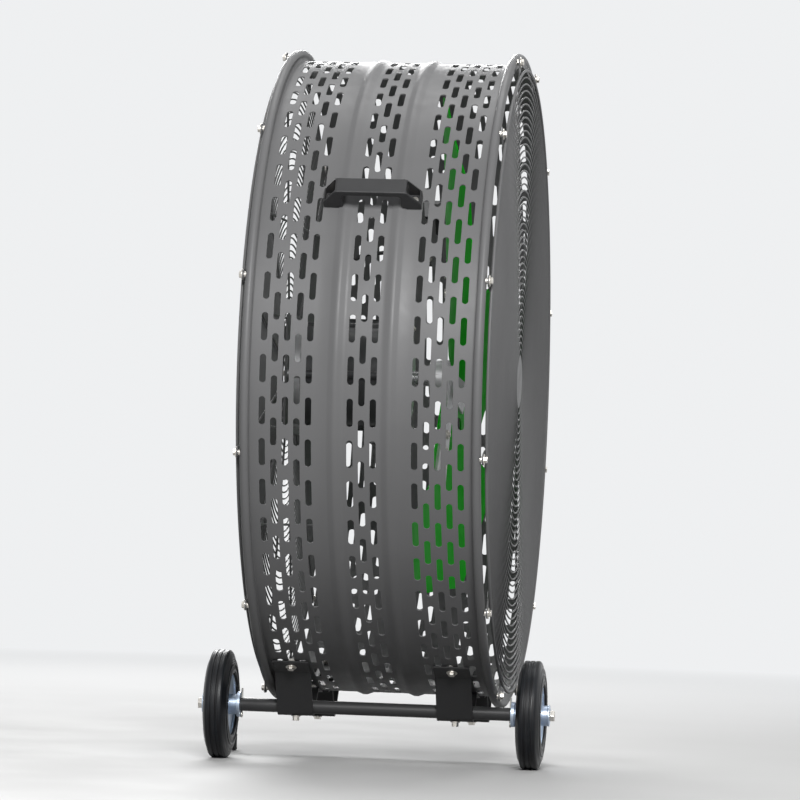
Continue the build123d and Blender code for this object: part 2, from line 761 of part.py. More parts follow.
box_top = shell_radius + box_height
cover_screws_at = [(side * (box_length / 2 - box_round), row * (box_width / 2 - box_round))
                   for side in (-1, 1) for row in (-1, 1)]
gland_plane = Plane(origin=on_drum(box_angle, shell_radius + box_height / 2, gland_place).origin
                    + tangent(box_angle) * (box_width / 2), z_dir=tangent(box_angle))
with BuildPart() as switch_box:
    with BuildSketch(on_drum(box_angle, box_top)):
        RectangleRounded(box_length, box_width, box_round)
    extrude(amount=-(box_height + box_round))
    with BuildSketch(on_drum(box_angle, box_top)):
        RectangleRounded(box_length - 2 * box_wall, box_width - 2 * box_wall, box_round - box_wall)
    extrude(amount=box_floor - box_height, mode=Mode.SUBTRACT)
    with BuildSketch(on_drum(box_angle, shell_radius + box_floor - box_wall)):
        RectangleRounded(box_length - 2 * box_wall, box_width - 2 * box_wall, box_round - box_wall)
    extrude(amount=-(box_floor + box_round), mode=Mode.SUBTRACT)
    with BuildSketch(on_drum(box_angle, box_top)):
        with Locations(*cover_screws_at):
            Circle(cover_boss_radius)
            Circle(cover_screw_radius + press_gap, mode=Mode.SUBTRACT)
    extrude(amount=box_floor - box_height)
    with BuildSketch(*[on_drum(angle, shell_radius, x) for angle, x in box_bolts]):
        Circle(washer_radius)
    extrude(amount=box_floor)
    with BuildSketch(*[on_drum(angle, shell_radius, x) for angle, x in box_bolts]):
        Circle(bolt_radius + bolt_gap)
    extrude(amount=2 * box_floor, mode=Mode.SUBTRACT)
    with BuildSketch(*[on_drum(angle, shell_radius + box_floor, x) for angle, x in box_bolts]):
        Circle(screw_head_radius + body_gap)
    extrude(amount=box_floor, mode=Mode.SUBTRACT)
    with BuildSketch(on_drum(box_angle, shell_radius, grommet_place)):
        Circle(lead_radius + body_gap)
    extrude(amount=2 * box_floor, mode=Mode.SUBTRACT)
    with BuildSketch(gland_plane):
        Circle(gland_thread + press_gap)
    extrude(amount=-2 * box_wall, mode=Mode.SUBTRACT)
    with BuildSketch(profile):
        with BuildLine():
            ribbed_line(shell_radius + seat_gap)
            Polyline((half, shell_radius + seat_gap), (half, shell_radius - box_width),
                     (-half, shell_radius - box_width), (-half, shell_radius + seat_gap))
        make_face()
    revolve(axis=fan_axis, mode=Mode.SUBTRACT)
save(switch_box, "switch_box")

with BuildPart() as box_lid:
    with BuildSketch(on_drum(box_angle, box_top)):
        RectangleRounded(box_length, box_width, box_round)
        with Locations(*cover_screws_at):
            Circle(cover_screw_radius + press_gap, mode=Mode.SUBTRACT)
        with Locations((switch_place, 0)):
            Circle(bushing_radius + press_gap, mode=Mode.SUBTRACT)
    extrude(amount=lid_thickness)
save(box_lid, "switch_box_lid")

lid_face = box_top + lid_thickness
with BuildPart() as switch:
    with BuildSketch(on_drum(box_angle, box_top, switch_place)):
        Rectangle(switch_size, switch_size)
    extrude(amount=-switch_depth)
    with BuildSketch(on_drum(box_angle, box_top, switch_place)):
        Circle(bushing_radius)
    extrude(amount=lid_thickness + bushing_height)
    with BuildSketch(on_drum(box_angle, lid_face + bushing_height, switch_place)):
        Circle(spindle_radius + running_gap)
    extrude(amount=-(bushing_height + lid_thickness + switch_depth / 2), mode=Mode.SUBTRACT)
save(switch, "rotary_switch")

knob_face = lid_face + bushing_height + body_gap
with BuildPart() as knob:
    with BuildSketch(on_drum(box_angle, knob_face, switch_place)):
        Circle(knob_radius)
    extrude(amount=knob_height / 2)
    with BuildSketch(on_drum(box_angle, knob_face + knob_height / 2, switch_place)):
        SlotOverall(knob_grip, knob_grip_width, rotation=90)
    extrude(amount=knob_height / 2)
    with BuildSketch(on_drum(box_angle, knob_face, switch_place)):
        Circle(spindle_radius)
    extrude(amount=-(bushing_height + lid_thickness + switch_depth / 4))
save(knob, "switch_knob")

with BuildPart() as gland:
    with BuildSketch(gland_plane):
        RegularPolygon(gland_flats / 2, 6, major_radius=False)
    extrude(amount=gland_flange)
    with BuildSketch(gland_plane.offset(gland_flange)):
        Circle(gland_cap_radius)
    extrude(amount=gland_cap_length)
    with BuildSketch(gland_plane):
        Circle(gland_thread)
    extrude(amount=-(box_wall + gland_flange))
    with BuildSketch(gland_plane):
        Circle(gland_bore)
    extrude(amount=gland_flange + gland_cap_length, mode=Mode.SUBTRACT)
    with BuildSketch(gland_plane):
        Circle(gland_throat)
    extrude(amount=-(box_wall + gland_flange), mode=Mode.SUBTRACT)
save(gland, "cord_gland")

with BuildPart() as cover_screws:
    for seat, places in ((on_drum(box_angle, lid_face), cover_screws_at),
                         (on_drum(terminal_angle, terminal_top + terminal_lid_thickness, terminal_x),
                          terminal_screws)):
        with BuildSketch(seat):
            with Locations(*places):
                Circle(cover_head_radius)
        extrude(amount=cover_head_height)
        with BuildSketch(seat):
            with Locations(*places):
                Circle(cover_screw_radius)
        extrude(amount=-cover_screw_length)
save(cover_screws, "cover_screws")

# ---------------------------------------------------------------- motor lead

lead_beside = lead_radius + seat_gap + rod_wire / 2 - rod_x
lead_rise = rod_heights[0]


def inside(x, y, z):
    """A point given along the fan's axis, across and up from the middle of the drum."""
    return Vector(drum_x + x, y, axis_height + z)


lead_points = [
    on_drum(terminal_angle, nozzle_up, nozzle_x + 2 * terminal_wall).origin,
    on_drum(terminal_angle, nozzle_up, nozzle_x - 40).origin,
    inside(-166, 75, 87),
    inside(-180, 120, 92),
    inside(lead_beside, 170, lead_rise),
    inside(lead_beside, 360, lead_rise),
    inside(-183, 395, 110),
    inside(-178, 412, 150),
    inside(-168, 417, 195),
    inside(-140, 418, 232),
    on_drum(box_angle, shell_inner - 52, grommet_place - 30).origin,
    on_drum(box_angle, shell_inner - 41, grommet_place - 11).origin,
    on_drum(box_angle, shell_inner - 22, grommet_place).origin,
    on_drum(box_angle, shell_radius + 2 * box_floor, grommet_place).origin,
]
lead_bends = []
for before, corner, after in zip(lead_points, lead_points[1:], lead_points[2:]):
    half_turn = math.radians((corner - before).get_angle(after - corner)) / 2
    shorter = min((corner - before).length, (after - corner).length)
    lead_bends.append(0.45 * shorter / math.tan(half_turn))
print("lead's bends", [round(bend) for bend in lead_bends])
with BuildPart() as lead:
    with BuildLine() as lead_path:
        FilletPolyline(*lead_points, radius=lead_bends)
    with BuildSketch(Plane(origin=lead_points[0], z_dir=lead_points[1] - lead_points[0])):
        Circle(lead_radius)
    sweep()
lead_length = lead_path.wire().length
print("lead", round(lead_length), "long, volume over section times length",
      round(lead.part.volume / (math.pi * lead_radius ** 2 * lead_length), 4))
save(lead, "motor_lead")

with BuildPart() as ties:
    tie_reach = lead_beside + rod_x
    tie_x = (lead_beside - rod_x) / 2
    for place in tie_places:
        with BuildSketch(Plane(origin=inside(tie_x, place, lead_rise), x_dir=(1, 0, 0), z_dir=(0, -1, 0))):
            SlotCenterToCenter(tie_reach, 2 * (lead_radius + seat_gap + tie_thickness))
            SlotCenterToCenter(tie_reach, 2 * (lead_radius + seat_gap), mode=Mode.SUBTRACT)
        extrude(amount=tie_width / 2, both=True)
save(ties, "lead_ties")

with BuildPart() as grommet:
    with BuildSketch(on_drum(box_angle, shell_inner - seat_gap, grommet_place)):
        Circle(grommet_flange)
    extrude(amount=-grommet_lip)
    with BuildSketch(on_drum(box_angle, shell_inner - seat_gap, grommet_place)):
        Circle(grommet_radius)
    extrude(amount=shell_wall + 2 * seat_gap)
    with BuildSketch(on_drum(box_angle, shell_radius + seat_gap, grommet_place)):
        Circle(grommet_flange)
    extrude(amount=grommet_lip)
    with BuildSketch(on_drum(box_angle, shell_radius, grommet_place)):
        Circle(lead_radius + press_gap)
    extrude(amount=4 * grommet_lip, both=True, mode=Mode.SUBTRACT)
save(grommet, "lead_grommet")

# ---------------------------------------------------------------- straps and tubes of the base


def side_plane(side, x):
    """A plane square to the fan's axis through the floor's middle line: its x runs out to a side."""
    return Plane(origin=(x, 0, 0), x_dir=(0, side, 0), z_dir=(side, 0, 0))


def strap_corners(tabs, tube_across, tube_up):
    """Corners of a strap's middle line, out and up: it lies on the drum and hangs round the tube."""
    tab_line, tube = [], Vector(tube_across, tube_up)
    for tip, bend in (tabs[:2], tabs[:1:-1]):
        radius = (shell_radius + strap_thickness / 2) / math.cos(math.radians(tip - bend) / 2)
        tab_line.append([Vector(radius * math.cos(math.radians(below)),
                                axis_height - radius * math.sin(math.radians(below)))
                         for below in (tip, bend)])
    legs = []
    for (tip, bend), turn in zip(tab_line, (1, -1)):
        away = tube - bend
        angle = math.atan2(away.Y, away.X)
        angle += turn * math.asin((tube_radius + strap_thickness / 2) / away.length)
        legs.append(Vector(math.cos(angle), math.sin(angle)))
    (outer_tip, outer_bend), (inner_tip, inner_bend) = tab_line
    along = (inner_bend - outer_bend).cross(legs[1]).Z / legs[0].cross(legs[1]).Z
    return outer_tip, outer_bend, outer_bend + legs[0] * along, inner_bend, inner_tip


bases = (("axle", -1, axle_across, axle_up, near_tabs, axle_head_height),
         ("foot", 1, foot_across, foot_up, far_tabs, foot_head_height))
tube_bolts_at = [(place, side * out, up, head) for tube, side, out, up, tabs, head in bases
                 for place in strap_places]
strap_seat = shell_radius + strap_thickness + seat_gap
for tube, side, out, up, tabs, head in bases:
    for end, place in zip(strap_names, strap_places):
        with BuildPart() as strap:
            with BuildSketch(side_plane(side, place)):
                with BuildLine():
                    FilletPolyline(*strap_corners(tabs, out, up),
                                   radius=[strap_bend, tube_radius + strap_thickness / 2, strap_bend])
                    offset(amount=strap_thickness / 2)
                make_face()
            extrude(amount=strap_width / 2, both=True)
            with BuildSketch(*[on_drum(angle, shell_radius, x) for angle, x in strap_bolts]):
                Circle(bolt_radius + bolt_gap)
            extrude(amount=2 * strap_thickness, both=True, mode=Mode.SUBTRACT)
            with BuildSketch(Plane(origin=(place, side * out, up - tube_radius))):
                Circle(bolt_radius + bolt_gap)
            extrude(amount=2 * strap_thickness, both=True, mode=Mode.SUBTRACT)
        save(strap, f"{end}_{tube}_bracket")

with BuildPart() as strap_bolts_part:
    with BuildSketch(*[on_drum(angle, strap_seat + washer_thickness, x) for angle, x in strap_bolts]):
        RegularPolygon(head_flats / 2, 6, major_radius=False)
    extrude(amount=head_height)
    with BuildSketch(*[on_drum(angle, strap_seat + washer_thickness, x) for angle, x in strap_bolts]):
        Circle(bolt_radius)
    extrude(amount=-(washer_thickness + strap_thickness + shell_wall + nut_height + bolt_overhang))
save(strap_bolts_part, "bracket_bolts")

# bolts up through the strap and the tube, from below
with BuildPart() as tube_bolts:
    for x, y, up, head in tube_bolts_at:
        head_seat = up - tube_radius - strap_thickness - washer_thickness
        with BuildSketch(Plane(origin=(x, y, head_seat))):
            RegularPolygon(head_flats / 2, 6, major_radius=False)
        extrude(amount=-head)
        with BuildSketch(Plane(origin=(x, y, head_seat))):
            Circle(bolt_radius)
        extrude(amount=washer_thickness + strap_thickness + 2 * tube_radius + nut_height + bolt_overhang)
save(tube_bolts, "tube_bolts")

with BuildPart() as frame_washers:
    with BuildSketch(*[on_drum(angle, strap_seat, x) for angle, x in strap_bolts]):
        Circle(washer_radius)
        Circle(bolt_radius + bolt_gap, mode=Mode.SUBTRACT)
    extrude(amount=washer_thickness)
    for x, y, up, head in tube_bolts_at:
        with BuildSketch(Plane(origin=(x, y, up - tube_radius - strap_thickness))):
            Circle(tube_washer_radius)
            Circle(bolt_radius + bolt_gap, mode=Mode.SUBTRACT)
        extrude(amount=-washer_thickness)
save(frame_washers, "frame_washers")

with BuildPart() as frame_nuts:
    with BuildSketch(*[on_drum(angle, shell_inner - seat_gap, x)
                       for angle, x in strap_bolts + handle_bolts + box_bolts]):
        RegularPolygon(head_flats / 2, 6, major_radius=False)
        Circle(bolt_radius + press_gap, mode=Mode.SUBTRACT)
    extrude(amount=-nut_height)
    for x, y, up, head in tube_bolts_at:
        with BuildSketch(Plane(origin=(x, y, up + tube_radius))):
            RegularPolygon(head_flats / 2, 6, major_radius=False)
            Circle(bolt_radius + press_gap, mode=Mode.SUBTRACT)
        extrude(amount=nut_height)
save(frame_nuts, "frame_nuts")

with BuildPart() as mounting_screws:
    for floor, places in ((handle_floor, handle_bolts), (box_floor, box_bolts)):
        with BuildSketch(*[on_drum(angle, shell_radius + floor, x) for angle, x in places]):
            Circle(screw_head_radius)
        extrude(amount=screw_head_height)
        with BuildSketch(*[on_drum(angle, shell_radius + floor, x) for angle, x in places]):
            Circle(bolt_radius)
        extrude(amount=-(floor + shell_wall + nut_height + bolt_overhang))
save(mounting_screws, "mounting_screws")

pin_place = sleeve_inner - body_gap - hub_washer_thickness - seat_gap - pin_wire
with BuildPart() as axle_tube:
    with BuildSketch(axle_face(1, -axle_half)):
        Circle(tube_radius)
        Circle(tube_bore, mode=Mode.SUBTRACT)
    extrude(amount=2 * axle_half)
    with BuildSketch(Plane(origin=(0, -axle_across, axle_up))):
        with Locations(*[(place, 0) for place in strap_places]):
            Circle(bolt_radius + bolt_gap)
        with Locations((-pin_place, 0), (pin_place, 0)):
            Circle(pin_wire + bolt_gap)
    extrude(amount=2 * tube_radius, both=True, mode=Mode.SUBTRACT)
save(axle_tube, "axle_tube")

with BuildPart() as plugs:
    with BuildSketch(axle_face(1, axle_half), axle_face(-1, axle_half)):
        Circle(tube_bore - press_gap)
        Circle(end_bolt_radius + press_gap, mode=Mode.SUBTRACT)
    extrude(amount=-plug_length)
save(plugs, "axle_plugs")

with BuildPart() as foot_tube:
    with BuildLine(Plane(origin=(0, foot_across, 0), x_dir=(1, 0, 0), z_dir=(0, -1, 0))):
        FilletPolyline((foot_ends[0], tip_floor), (foot_ends[0], foot_up), (foot_ends[1], foot_up),
                       (foot_ends[1], tip_floor), radius=foot_bend)
    with BuildSketch(Plane(origin=(foot_ends[0], foot_across, tip_floor))):
        Circle(tube_radius)
        Circle(tube_bore, mode=Mode.SUBTRACT)
    sweep()
    with BuildSketch(Plane(origin=(0, foot_across, foot_up))):
        with Locations(*[(place, 0) for place in strap_places]):
            Circle(bolt_radius + bolt_gap)
    extrude(amount=2 * tube_radius, both=True, mode=Mode.SUBTRACT)
save(foot_tube, "foot_tube")

with BuildPart() as tips:
    for place in foot_ends:
        with BuildSketch(Plane(origin=(place, foot_across, 0))):
            Circle(tip_radius)
        extrude(amount=tip_height)
        with BuildSketch(Plane(origin=(place, foot_across, tip_height))):
            Circle(tube_radius + press_gap)
        extrude(amount=tip_floor - tip_height, mode=Mode.SUBTRACT)
    fillet(tips.edges().group_by(Axis.Z)[0], tip_edge)
save(tips, "foot_tips")

# ---------------------------------------------------------------- wheels

with BuildPart() as end_bolts:
    with BuildSketch(*[axle_face(side, axle_half + end_washer_thickness) for end, side in ends]):
        RegularPolygon(end_head_flats / 2, 6, major_radius=False)
    extrude(amount=end_head_height)
    with BuildSketch(*[axle_face(side, axle_half + end_washer_thickness) for end, side in ends]):
        Circle(end_bolt_radius)
    extrude(amount=-(end_washer_thickness + end_bolt_length))
save(end_bolts, "wheel_bolts")

with BuildPart() as wheel_washers:
    with BuildSketch(*[axle_face(side, axle_half) for end, side in ends]):
        Circle(end_washer_radius)
        Circle(end_bolt_radius + bolt_gap, mode=Mode.SUBTRACT)
    extrude(amount=end_washer_thickness)
    with BuildSketch(*[axle_face(side, sleeve_inner - body_gap) for end, side in ends]):
        Circle(hub_washer_radius)
        Circle(tube_radius + bolt_gap, mode=Mode.SUBTRACT)
    extrude(amount=-hub_washer_thickness)
save(wheel_washers, "wheel_washers")

with BuildPart() as pins:
    eye_up = axle_up - tube_radius - pin_wire - pin_eye
    for side in (-1, 1):
        with BuildSketch(Plane(origin=(side * pin_place, -axle_across, eye_up + pin_eye))):
            Circle(pin_wire)
        extrude(amount=axle_up + tube_radius + pin_above - eye_up - pin_eye)
        with Locations(Location((side * pin_place, -axle_across, eye_up), (0, 90, 0))):
            Torus(pin_eye, pin_wire)
save(pins, "split_pins")

axle_line = Axis((0, -axle_across, axle_up), (1, 0, 0))
disc_face = disc_place + disc_thickness
disc_seat = disc_radius + body_gap
for end, side in ends:
    wheel_section = Plane(origin=(side * wheel_place, -axle_across, axle_up), x_dir=(1, 0, 0),
                          z_dir=(0, -1, 0))
    with BuildPart() as tyre:
        with BuildSketch(wheel_section):
            with BuildLine():
                Polyline((0, tongue_radius), (disc_place, tongue_radius), (disc_place, disc_seat),
                         (tyre_half_width - bead_corner, disc_seat),
                         (tyre_half_width, disc_seat + bead_corner),
                         *[(width, wheel_radius - depth) for width, depth in tyre_steps],
                         (crown_half_width, wheel_radius), (tread_groove_end, wheel_radius),
                         (tread_groove_end, wheel_radius - tread_depth),
                         (tread_groove_start, wheel_radius - tread_depth),
                         (tread_groove_start, wheel_radius), (0, wheel_radius))
                mirror(about=Plane.YZ)
            make_face()
        revolve(axis=axle_line)
    save(tyre, f"{end}_tyre")

    with BuildPart() as wheel_hub:
        with BuildSketch(wheel_section):
            for facing in (-1, 1):
                Polygon((facing * disc_place, sleeve_radius + press_gap),
                        (facing * disc_face, sleeve_radius + press_gap),
                        (facing * disc_face, disc_radius - disc_thickness),
                        (facing * (disc_face + disc_lip), disc_radius - disc_thickness),
                        (facing * (disc_face + disc_lip), disc_radius),
                        (facing * disc_place, disc_radius), align=None)
        revolve(axis=axle_line)
        with BuildSketch(axle_face(side, sleeve_inner)):
            Circle(sleeve_radius)
            Circle(tube_radius + running_gap, mode=Mode.SUBTRACT)
        extrude(amount=axle_half - body_gap - sleeve_inner)
    save(wheel_hub, f"{end}_wheel_hub")
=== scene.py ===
"""A wheeled drum fan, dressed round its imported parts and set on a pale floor.

Lengths are metres and angles degrees. X is the fan's axis, and the air leaves at +X, the front.
The pull handle and the wheels are on the -Y side, the feet and the switch box on the +Y side, and
Z is up. Angles round the drum start level on the -Y side and climb: 90 is the top.
"""
import json
import math

import bmesh
import bpy
from bpy.props import FloatProperty, FloatVectorProperty, IntProperty, PointerProperty
from mathutils import Matrix, Vector

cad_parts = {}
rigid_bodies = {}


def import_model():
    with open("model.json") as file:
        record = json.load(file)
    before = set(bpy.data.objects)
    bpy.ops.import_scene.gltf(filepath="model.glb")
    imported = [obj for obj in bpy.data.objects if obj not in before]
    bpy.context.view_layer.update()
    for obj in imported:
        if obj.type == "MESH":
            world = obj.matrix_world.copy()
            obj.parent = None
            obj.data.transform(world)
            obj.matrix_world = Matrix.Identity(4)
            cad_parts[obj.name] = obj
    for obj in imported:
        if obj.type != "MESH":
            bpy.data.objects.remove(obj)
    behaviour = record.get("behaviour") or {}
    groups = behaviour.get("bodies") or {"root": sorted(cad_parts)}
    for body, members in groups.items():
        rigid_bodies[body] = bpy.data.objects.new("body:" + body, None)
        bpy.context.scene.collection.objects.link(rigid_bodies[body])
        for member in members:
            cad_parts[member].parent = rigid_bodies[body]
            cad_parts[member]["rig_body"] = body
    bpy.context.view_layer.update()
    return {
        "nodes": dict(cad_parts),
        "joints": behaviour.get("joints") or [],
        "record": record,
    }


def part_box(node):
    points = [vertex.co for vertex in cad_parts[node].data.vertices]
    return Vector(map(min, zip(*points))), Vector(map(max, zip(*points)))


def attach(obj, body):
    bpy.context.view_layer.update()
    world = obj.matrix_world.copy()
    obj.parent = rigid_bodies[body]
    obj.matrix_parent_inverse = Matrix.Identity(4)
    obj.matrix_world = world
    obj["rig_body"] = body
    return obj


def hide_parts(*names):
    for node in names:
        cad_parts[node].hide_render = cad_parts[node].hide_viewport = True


bl_info = {
    "name": "Drum fan",
    "version": (1, 0, 0),
    "blender": (4, 5, 0),
    "location": "View3D > Sidebar > Drum fan",
    "description": "Builds the pieces, finishes and stage of a wheeled drum fan",
    "category": "Add Mesh",
}

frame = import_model()

NODE_SLOTS = {row["node"]: row["material_slot"] for row in frame["record"]["subparts"]}
ALONG = Vector((1.0, 0.0, 0.0))     # the fan's axis, which the axle shares

# points nearer than this are one, in the drum's sheet and in small pieces
MERGE = 1e-5
SMALL_MERGE = 1e-6
# faces that turn by less than this are one flat
FLAT = math.radians(0.5)

# columns of slots in the drum's bands
MIDDLE_COLUMNS = 3
OUTER_COLUMNS = 5

# how finely the pieces are cut
SHEET_PARTS = 8         # faces of the drum's sheet round the drum for each row of slots
SLOT_END_PARTS = 10     # faces round one end of a slot
SLOT_SIDE_CUTS = 3      # cuts in each straight side of a slot
RIB_PARTS = 12          # faces across a rib
RIM_PARTS = 240         # faces round the drum in a rim
RIM_TUBE_PARTS = 20     # faces round a rim's tube
RING_PARTS = 144        # faces round the drum in a guard's ring
WIRE_SIDES = 8          # faces round a ring's wire
SPOKE_SIDES = 10        # faces round a spoke
TYRE_PARTS = 128        # faces round a tyre
EDGE_PARTS = 2          # faces across a rounded edge

# shares of a size
RIB_CREST = 2 / RIB_PARTS   # the flat crest, of a rib's width
SLOT_SIDE = 0.9             # of a slot's straight part: only its sides are longer
SPOKE_EDGE = 1 / 6          # the rounding at a spoke's ends, of its wire
GROOVE_EDGE = 1 / 8         # the rounding of a tread groove, of its width

# the weld bead at the neck's foot, in shares of its height: in along the axis, and out
NECK_BEAD = ((0.0, 2.2), (0.6, 1.0), (1.6, 1.0), (2.2, 0.0))
# the tyre's side, from the tread to the bead: in from its half width, and in from the tread
TYRE_FLANK = ((0.0060, 0.0030), (0.0037, 0.0100), (0.0023, 0.0128), (0.0015, 0.0145), (0.0015, 0.0210),
              (0.0002, 0.0217), (0.0000, 0.0228), (0.0000, 0.0238), (0.0003, 0.0245), (0.0013, 0.0255),
              (0.0011, 0.0300), (0.0001, 0.0330), (0.0000, 0.0360), (0.0010, 0.0382))

# rounding of the edges of each node that keeps its CAD shape
ROUNDED = {
    "front_guard_tabs": 0.0005, "rear_guard_tabs": 0.0005, "front_centre_plate": 0.0006,
    "guard_bolts": 0.0006, "guard_washers": 0.0003, "bracket_bolts": 0.0006, "frame_washers": 0.0003,
    "frame_nuts": 0.0005, "tube_bolts": 0.0006, "mounting_screws": 0.0006, "cover_screws": 0.0004,
    "motor_bolts": 0.0005, "blade_bolts": 0.0006, "wheel_bolts": 0.0008, "wheel_washers": 0.0005,
    "split_pins": 0.0002, "front_axle_bracket": 0.0009, "rear_axle_bracket": 0.0009,
    "front_foot_bracket": 0.0009, "rear_foot_bracket": 0.0009, "axle_tube": 0.0005, "axle_plugs": 0.0003,
    "foot_tube": 0.0004, "foot_tips": 0.0008, "front_wheel_hub": 0.0005, "rear_wheel_hub": 0.0005,
    "carry_handle": 0.0008, "switch_box": 0.0006, "switch_box_lid": 0.0008, "switch_knob": 0.0010,
    "cord_gland": 0.0005, "lead_ties": 0.0002, "lead_grommet": 0.0004, "motor_lead": 0.0001,
    "motor_plate": 0.0006, "rear_cross_rods": 0.0003, "motor_housing": 0.0005, "motor_rear_bell": 0.0006,
    "motor_front_bell": 0.0006, "terminal_box": 0.0006, "terminal_lid": 0.0006, "fan_hub": 0.0006,
    "fan_blades": 0.0005, "motor_shaft": 0.0003,
}

# most of a noise lies between these
NOISE_LOW, NOISE_HIGH = 0.3, 0.7
# marks that run round the axle or the shaft: metres that they drift in a radian, and the share
# at which those in metal change in their third direction
METAL_DRIFT = 0.002
RUBBER_DRIFT = 0.004
WINDING_DRIFT = 0.01
METAL_SLOW = 0.2
# depths below a tyre's tread between which its dust fades out
TREAD_DUST = (0.004, 0.001)

# soft lamps: name, place, width and height, and watts
LAMPS = (
    ("near_lamp", (0.8, -4.6, 2.75), (1.6, 1.2), 232.0),
    ("top_lamp", (0.0, 1.0, 3.6), (2.0, 1.2), 30.0),
    ("front_lamp", (3.8, -0.8, 1.8), (1.2, 1.8), 8.0),
    ("far_lamp", (-1.2, 4.4, 2.4), (2.0, 1.4), 120.0),
)
LAMP_AIM = (0.0, 0.0, 0.62)     # the point that the lamps face
FLOOR_REACH = 30.0              # from the middle of the floor to its edges
SENSOR_MM = 36.0                # width of the camera's sensor
FAR_CLIP = 100.0                # how far the camera sees

# places of the sockets of a Mix node that mixes colours: factor and both colours, and the result
MIX_INPUTS = (0, 6, 7)
MIX_RESULT = 2


def middle(node):
    """The middle of a node's box."""
    low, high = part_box(node)
    return (Vector(low) + Vector(high)) / 2


DRUM_MIDDLE = middle("drum_shell")


# ------------------------------------------------------------------ settings


def length(name, text, default):
    """A setting that is a length."""
    return FloatProperty(name=name, description=text, default=default, unit="LENGTH", precision=5)


def angle(name, text, default):
    """A setting in degrees."""
    return FloatProperty(name=name, description=text, default=default)


def count(name, text, default):
    """A setting that counts pieces."""
    return IntProperty(name=name, description=text, default=default, min=1)


def colour(name, text, default):
    """A setting that is a linear colour."""
    return FloatVectorProperty(name=name, description=text, default=default, subtype="COLOR",
                               size=3, min=0.0, max=1.0)


class DrumSettings(bpy.types.PropertyGroup):
    """The slotted drum and the rims at its ends."""

    radius: length("Radius", "Outside of the drum's sheet", 0.5335)
    wall: length("Wall", "Thickness of the sheet", 0.002)
    length: length("Length", "Along the fan's axis", 0.380)
    rib_place: length("Rib place", "From the middle to each rib's crest", 0.0436)
    rib_width: length("Rib width", "Foot of a rib, with its fillets", 0.0252)
    rib_height: length("Rib height", "Crest above the sheet", 0.004)
    slot_rows: count("Slot rows", "Slots round the drum in one column", 50)
    slot_length: length("Slot length", "Round the drum", 0.0453)
    slot_width: length("Slot width", "Along the axis", 0.0104)
    slot_column: length("Slot column", "From one column of slots to the next", 0.0185)
    slot_band: length("Slot band", "From the middle to the middle of each outer band", 0.122)
    slot_phase: angle("Slot phase", "Angle of a slot in the even columns", -0.75)
    rim_tube: length("Rim tube", "Radius of the tube rolled at each end", 0.0075)
    rim_rise: length("Rim rise", "From the sheet out to the tube's centre line", 0.012)
    rim_inset: length("Rim inset", "From the drum's end in to the tube's centre line", 0.0045)
    neck_width: length("Neck width", "Sheet between the drum and the tube", 0.0095)
    neck_bead: length("Neck bead", "Height of the bead at the neck's foot", 0.0009)


class GuardSettings(bpy.types.PropertyGroup):
    """The wire guards on both faces."""

    seat: length("Seat", "From the drum's middle to the back of the rings", 0.197)
    ring_count: count("Rings", "Rings on each face", 43)
    outer_radius: length("Outer radius", "Centre line of the outermost ring", 0.525)
    pitch: length("Pitch", "From ring to ring", 0.0112)
    wire: length("Wire", "Thickness of a ring's wire", 0.003)
    outer_wire: length("Outer wire", "Thickness of the outermost ring's wire", 0.005)
    spoke_count: count("Spokes", "Spokes on each face", 12)
    spoke_phase: angle("Spoke phase", "Angle of the first spoke", 15.0)
    spoke_wire: length("Spoke wire", "Thickness of a spoke", 0.004)
    spoke_start: length("Spoke start", "Inner end of a spoke", 0.020)
    spoke_end: length("Spoke end", "Outer end of a spoke", 0.5187)


class WheelSettings(bpy.types.PropertyGroup):
    """The tyres."""

    radius: length("Radius", "Of the tread", 0.090)
    half_width: length("Half width", "Of the tyre", 0.0205)
    crown: length("Crown", "Half width of the tread", 0.0125)
    crown_edge: length("Crown edge", "Width of the tread's chamfer", 0.0015)
    seat: length("Seat", "Inner radius of the tyre's bead", 0.0513)
    bead: length("Bead", "Half width of the tyre where it sits on the discs", 0.0180)
    tongue: length("Tongue", "Half width of the tyre between the discs", 0.0120)
    tongue_radius: length("Tongue radius", "Inner radius of the tyre between the discs", 0.0400)
    groove: length("Groove", "Width of a tread groove", 0.0025)
    groove_depth: length("Groove depth", "Depth of a tread groove", 0.0015)
    groove_place: length("Groove place", "From the middle to each groove", 0.00425)


class DialSettings(bpy.types.PropertyGroup):
    """The numbers round the speed knob."""

    steps: count("Steps", "Places that the knob clicks into", 4)
    first: angle("First", "Turn of the first number from the X direction", 90.0)
    spread: angle("Spread", "Turn from one number to the next", 45.0)
    size: length("Size", "Height of a number", 0.0075)
    raised: length("Raised", "Height above the lid", 0.00025)
    number_radius: length("Number radius", "From the knob's axis to the numbers", 0.0315)
    tick_radius: length("Tick radius", "From the knob's axis to the ticks", 0.0240)
    tick_width: length("Tick width", "Width of a tick", 0.0010)
    tick_length: length("Tick length", "Length of a tick", 0.0040)


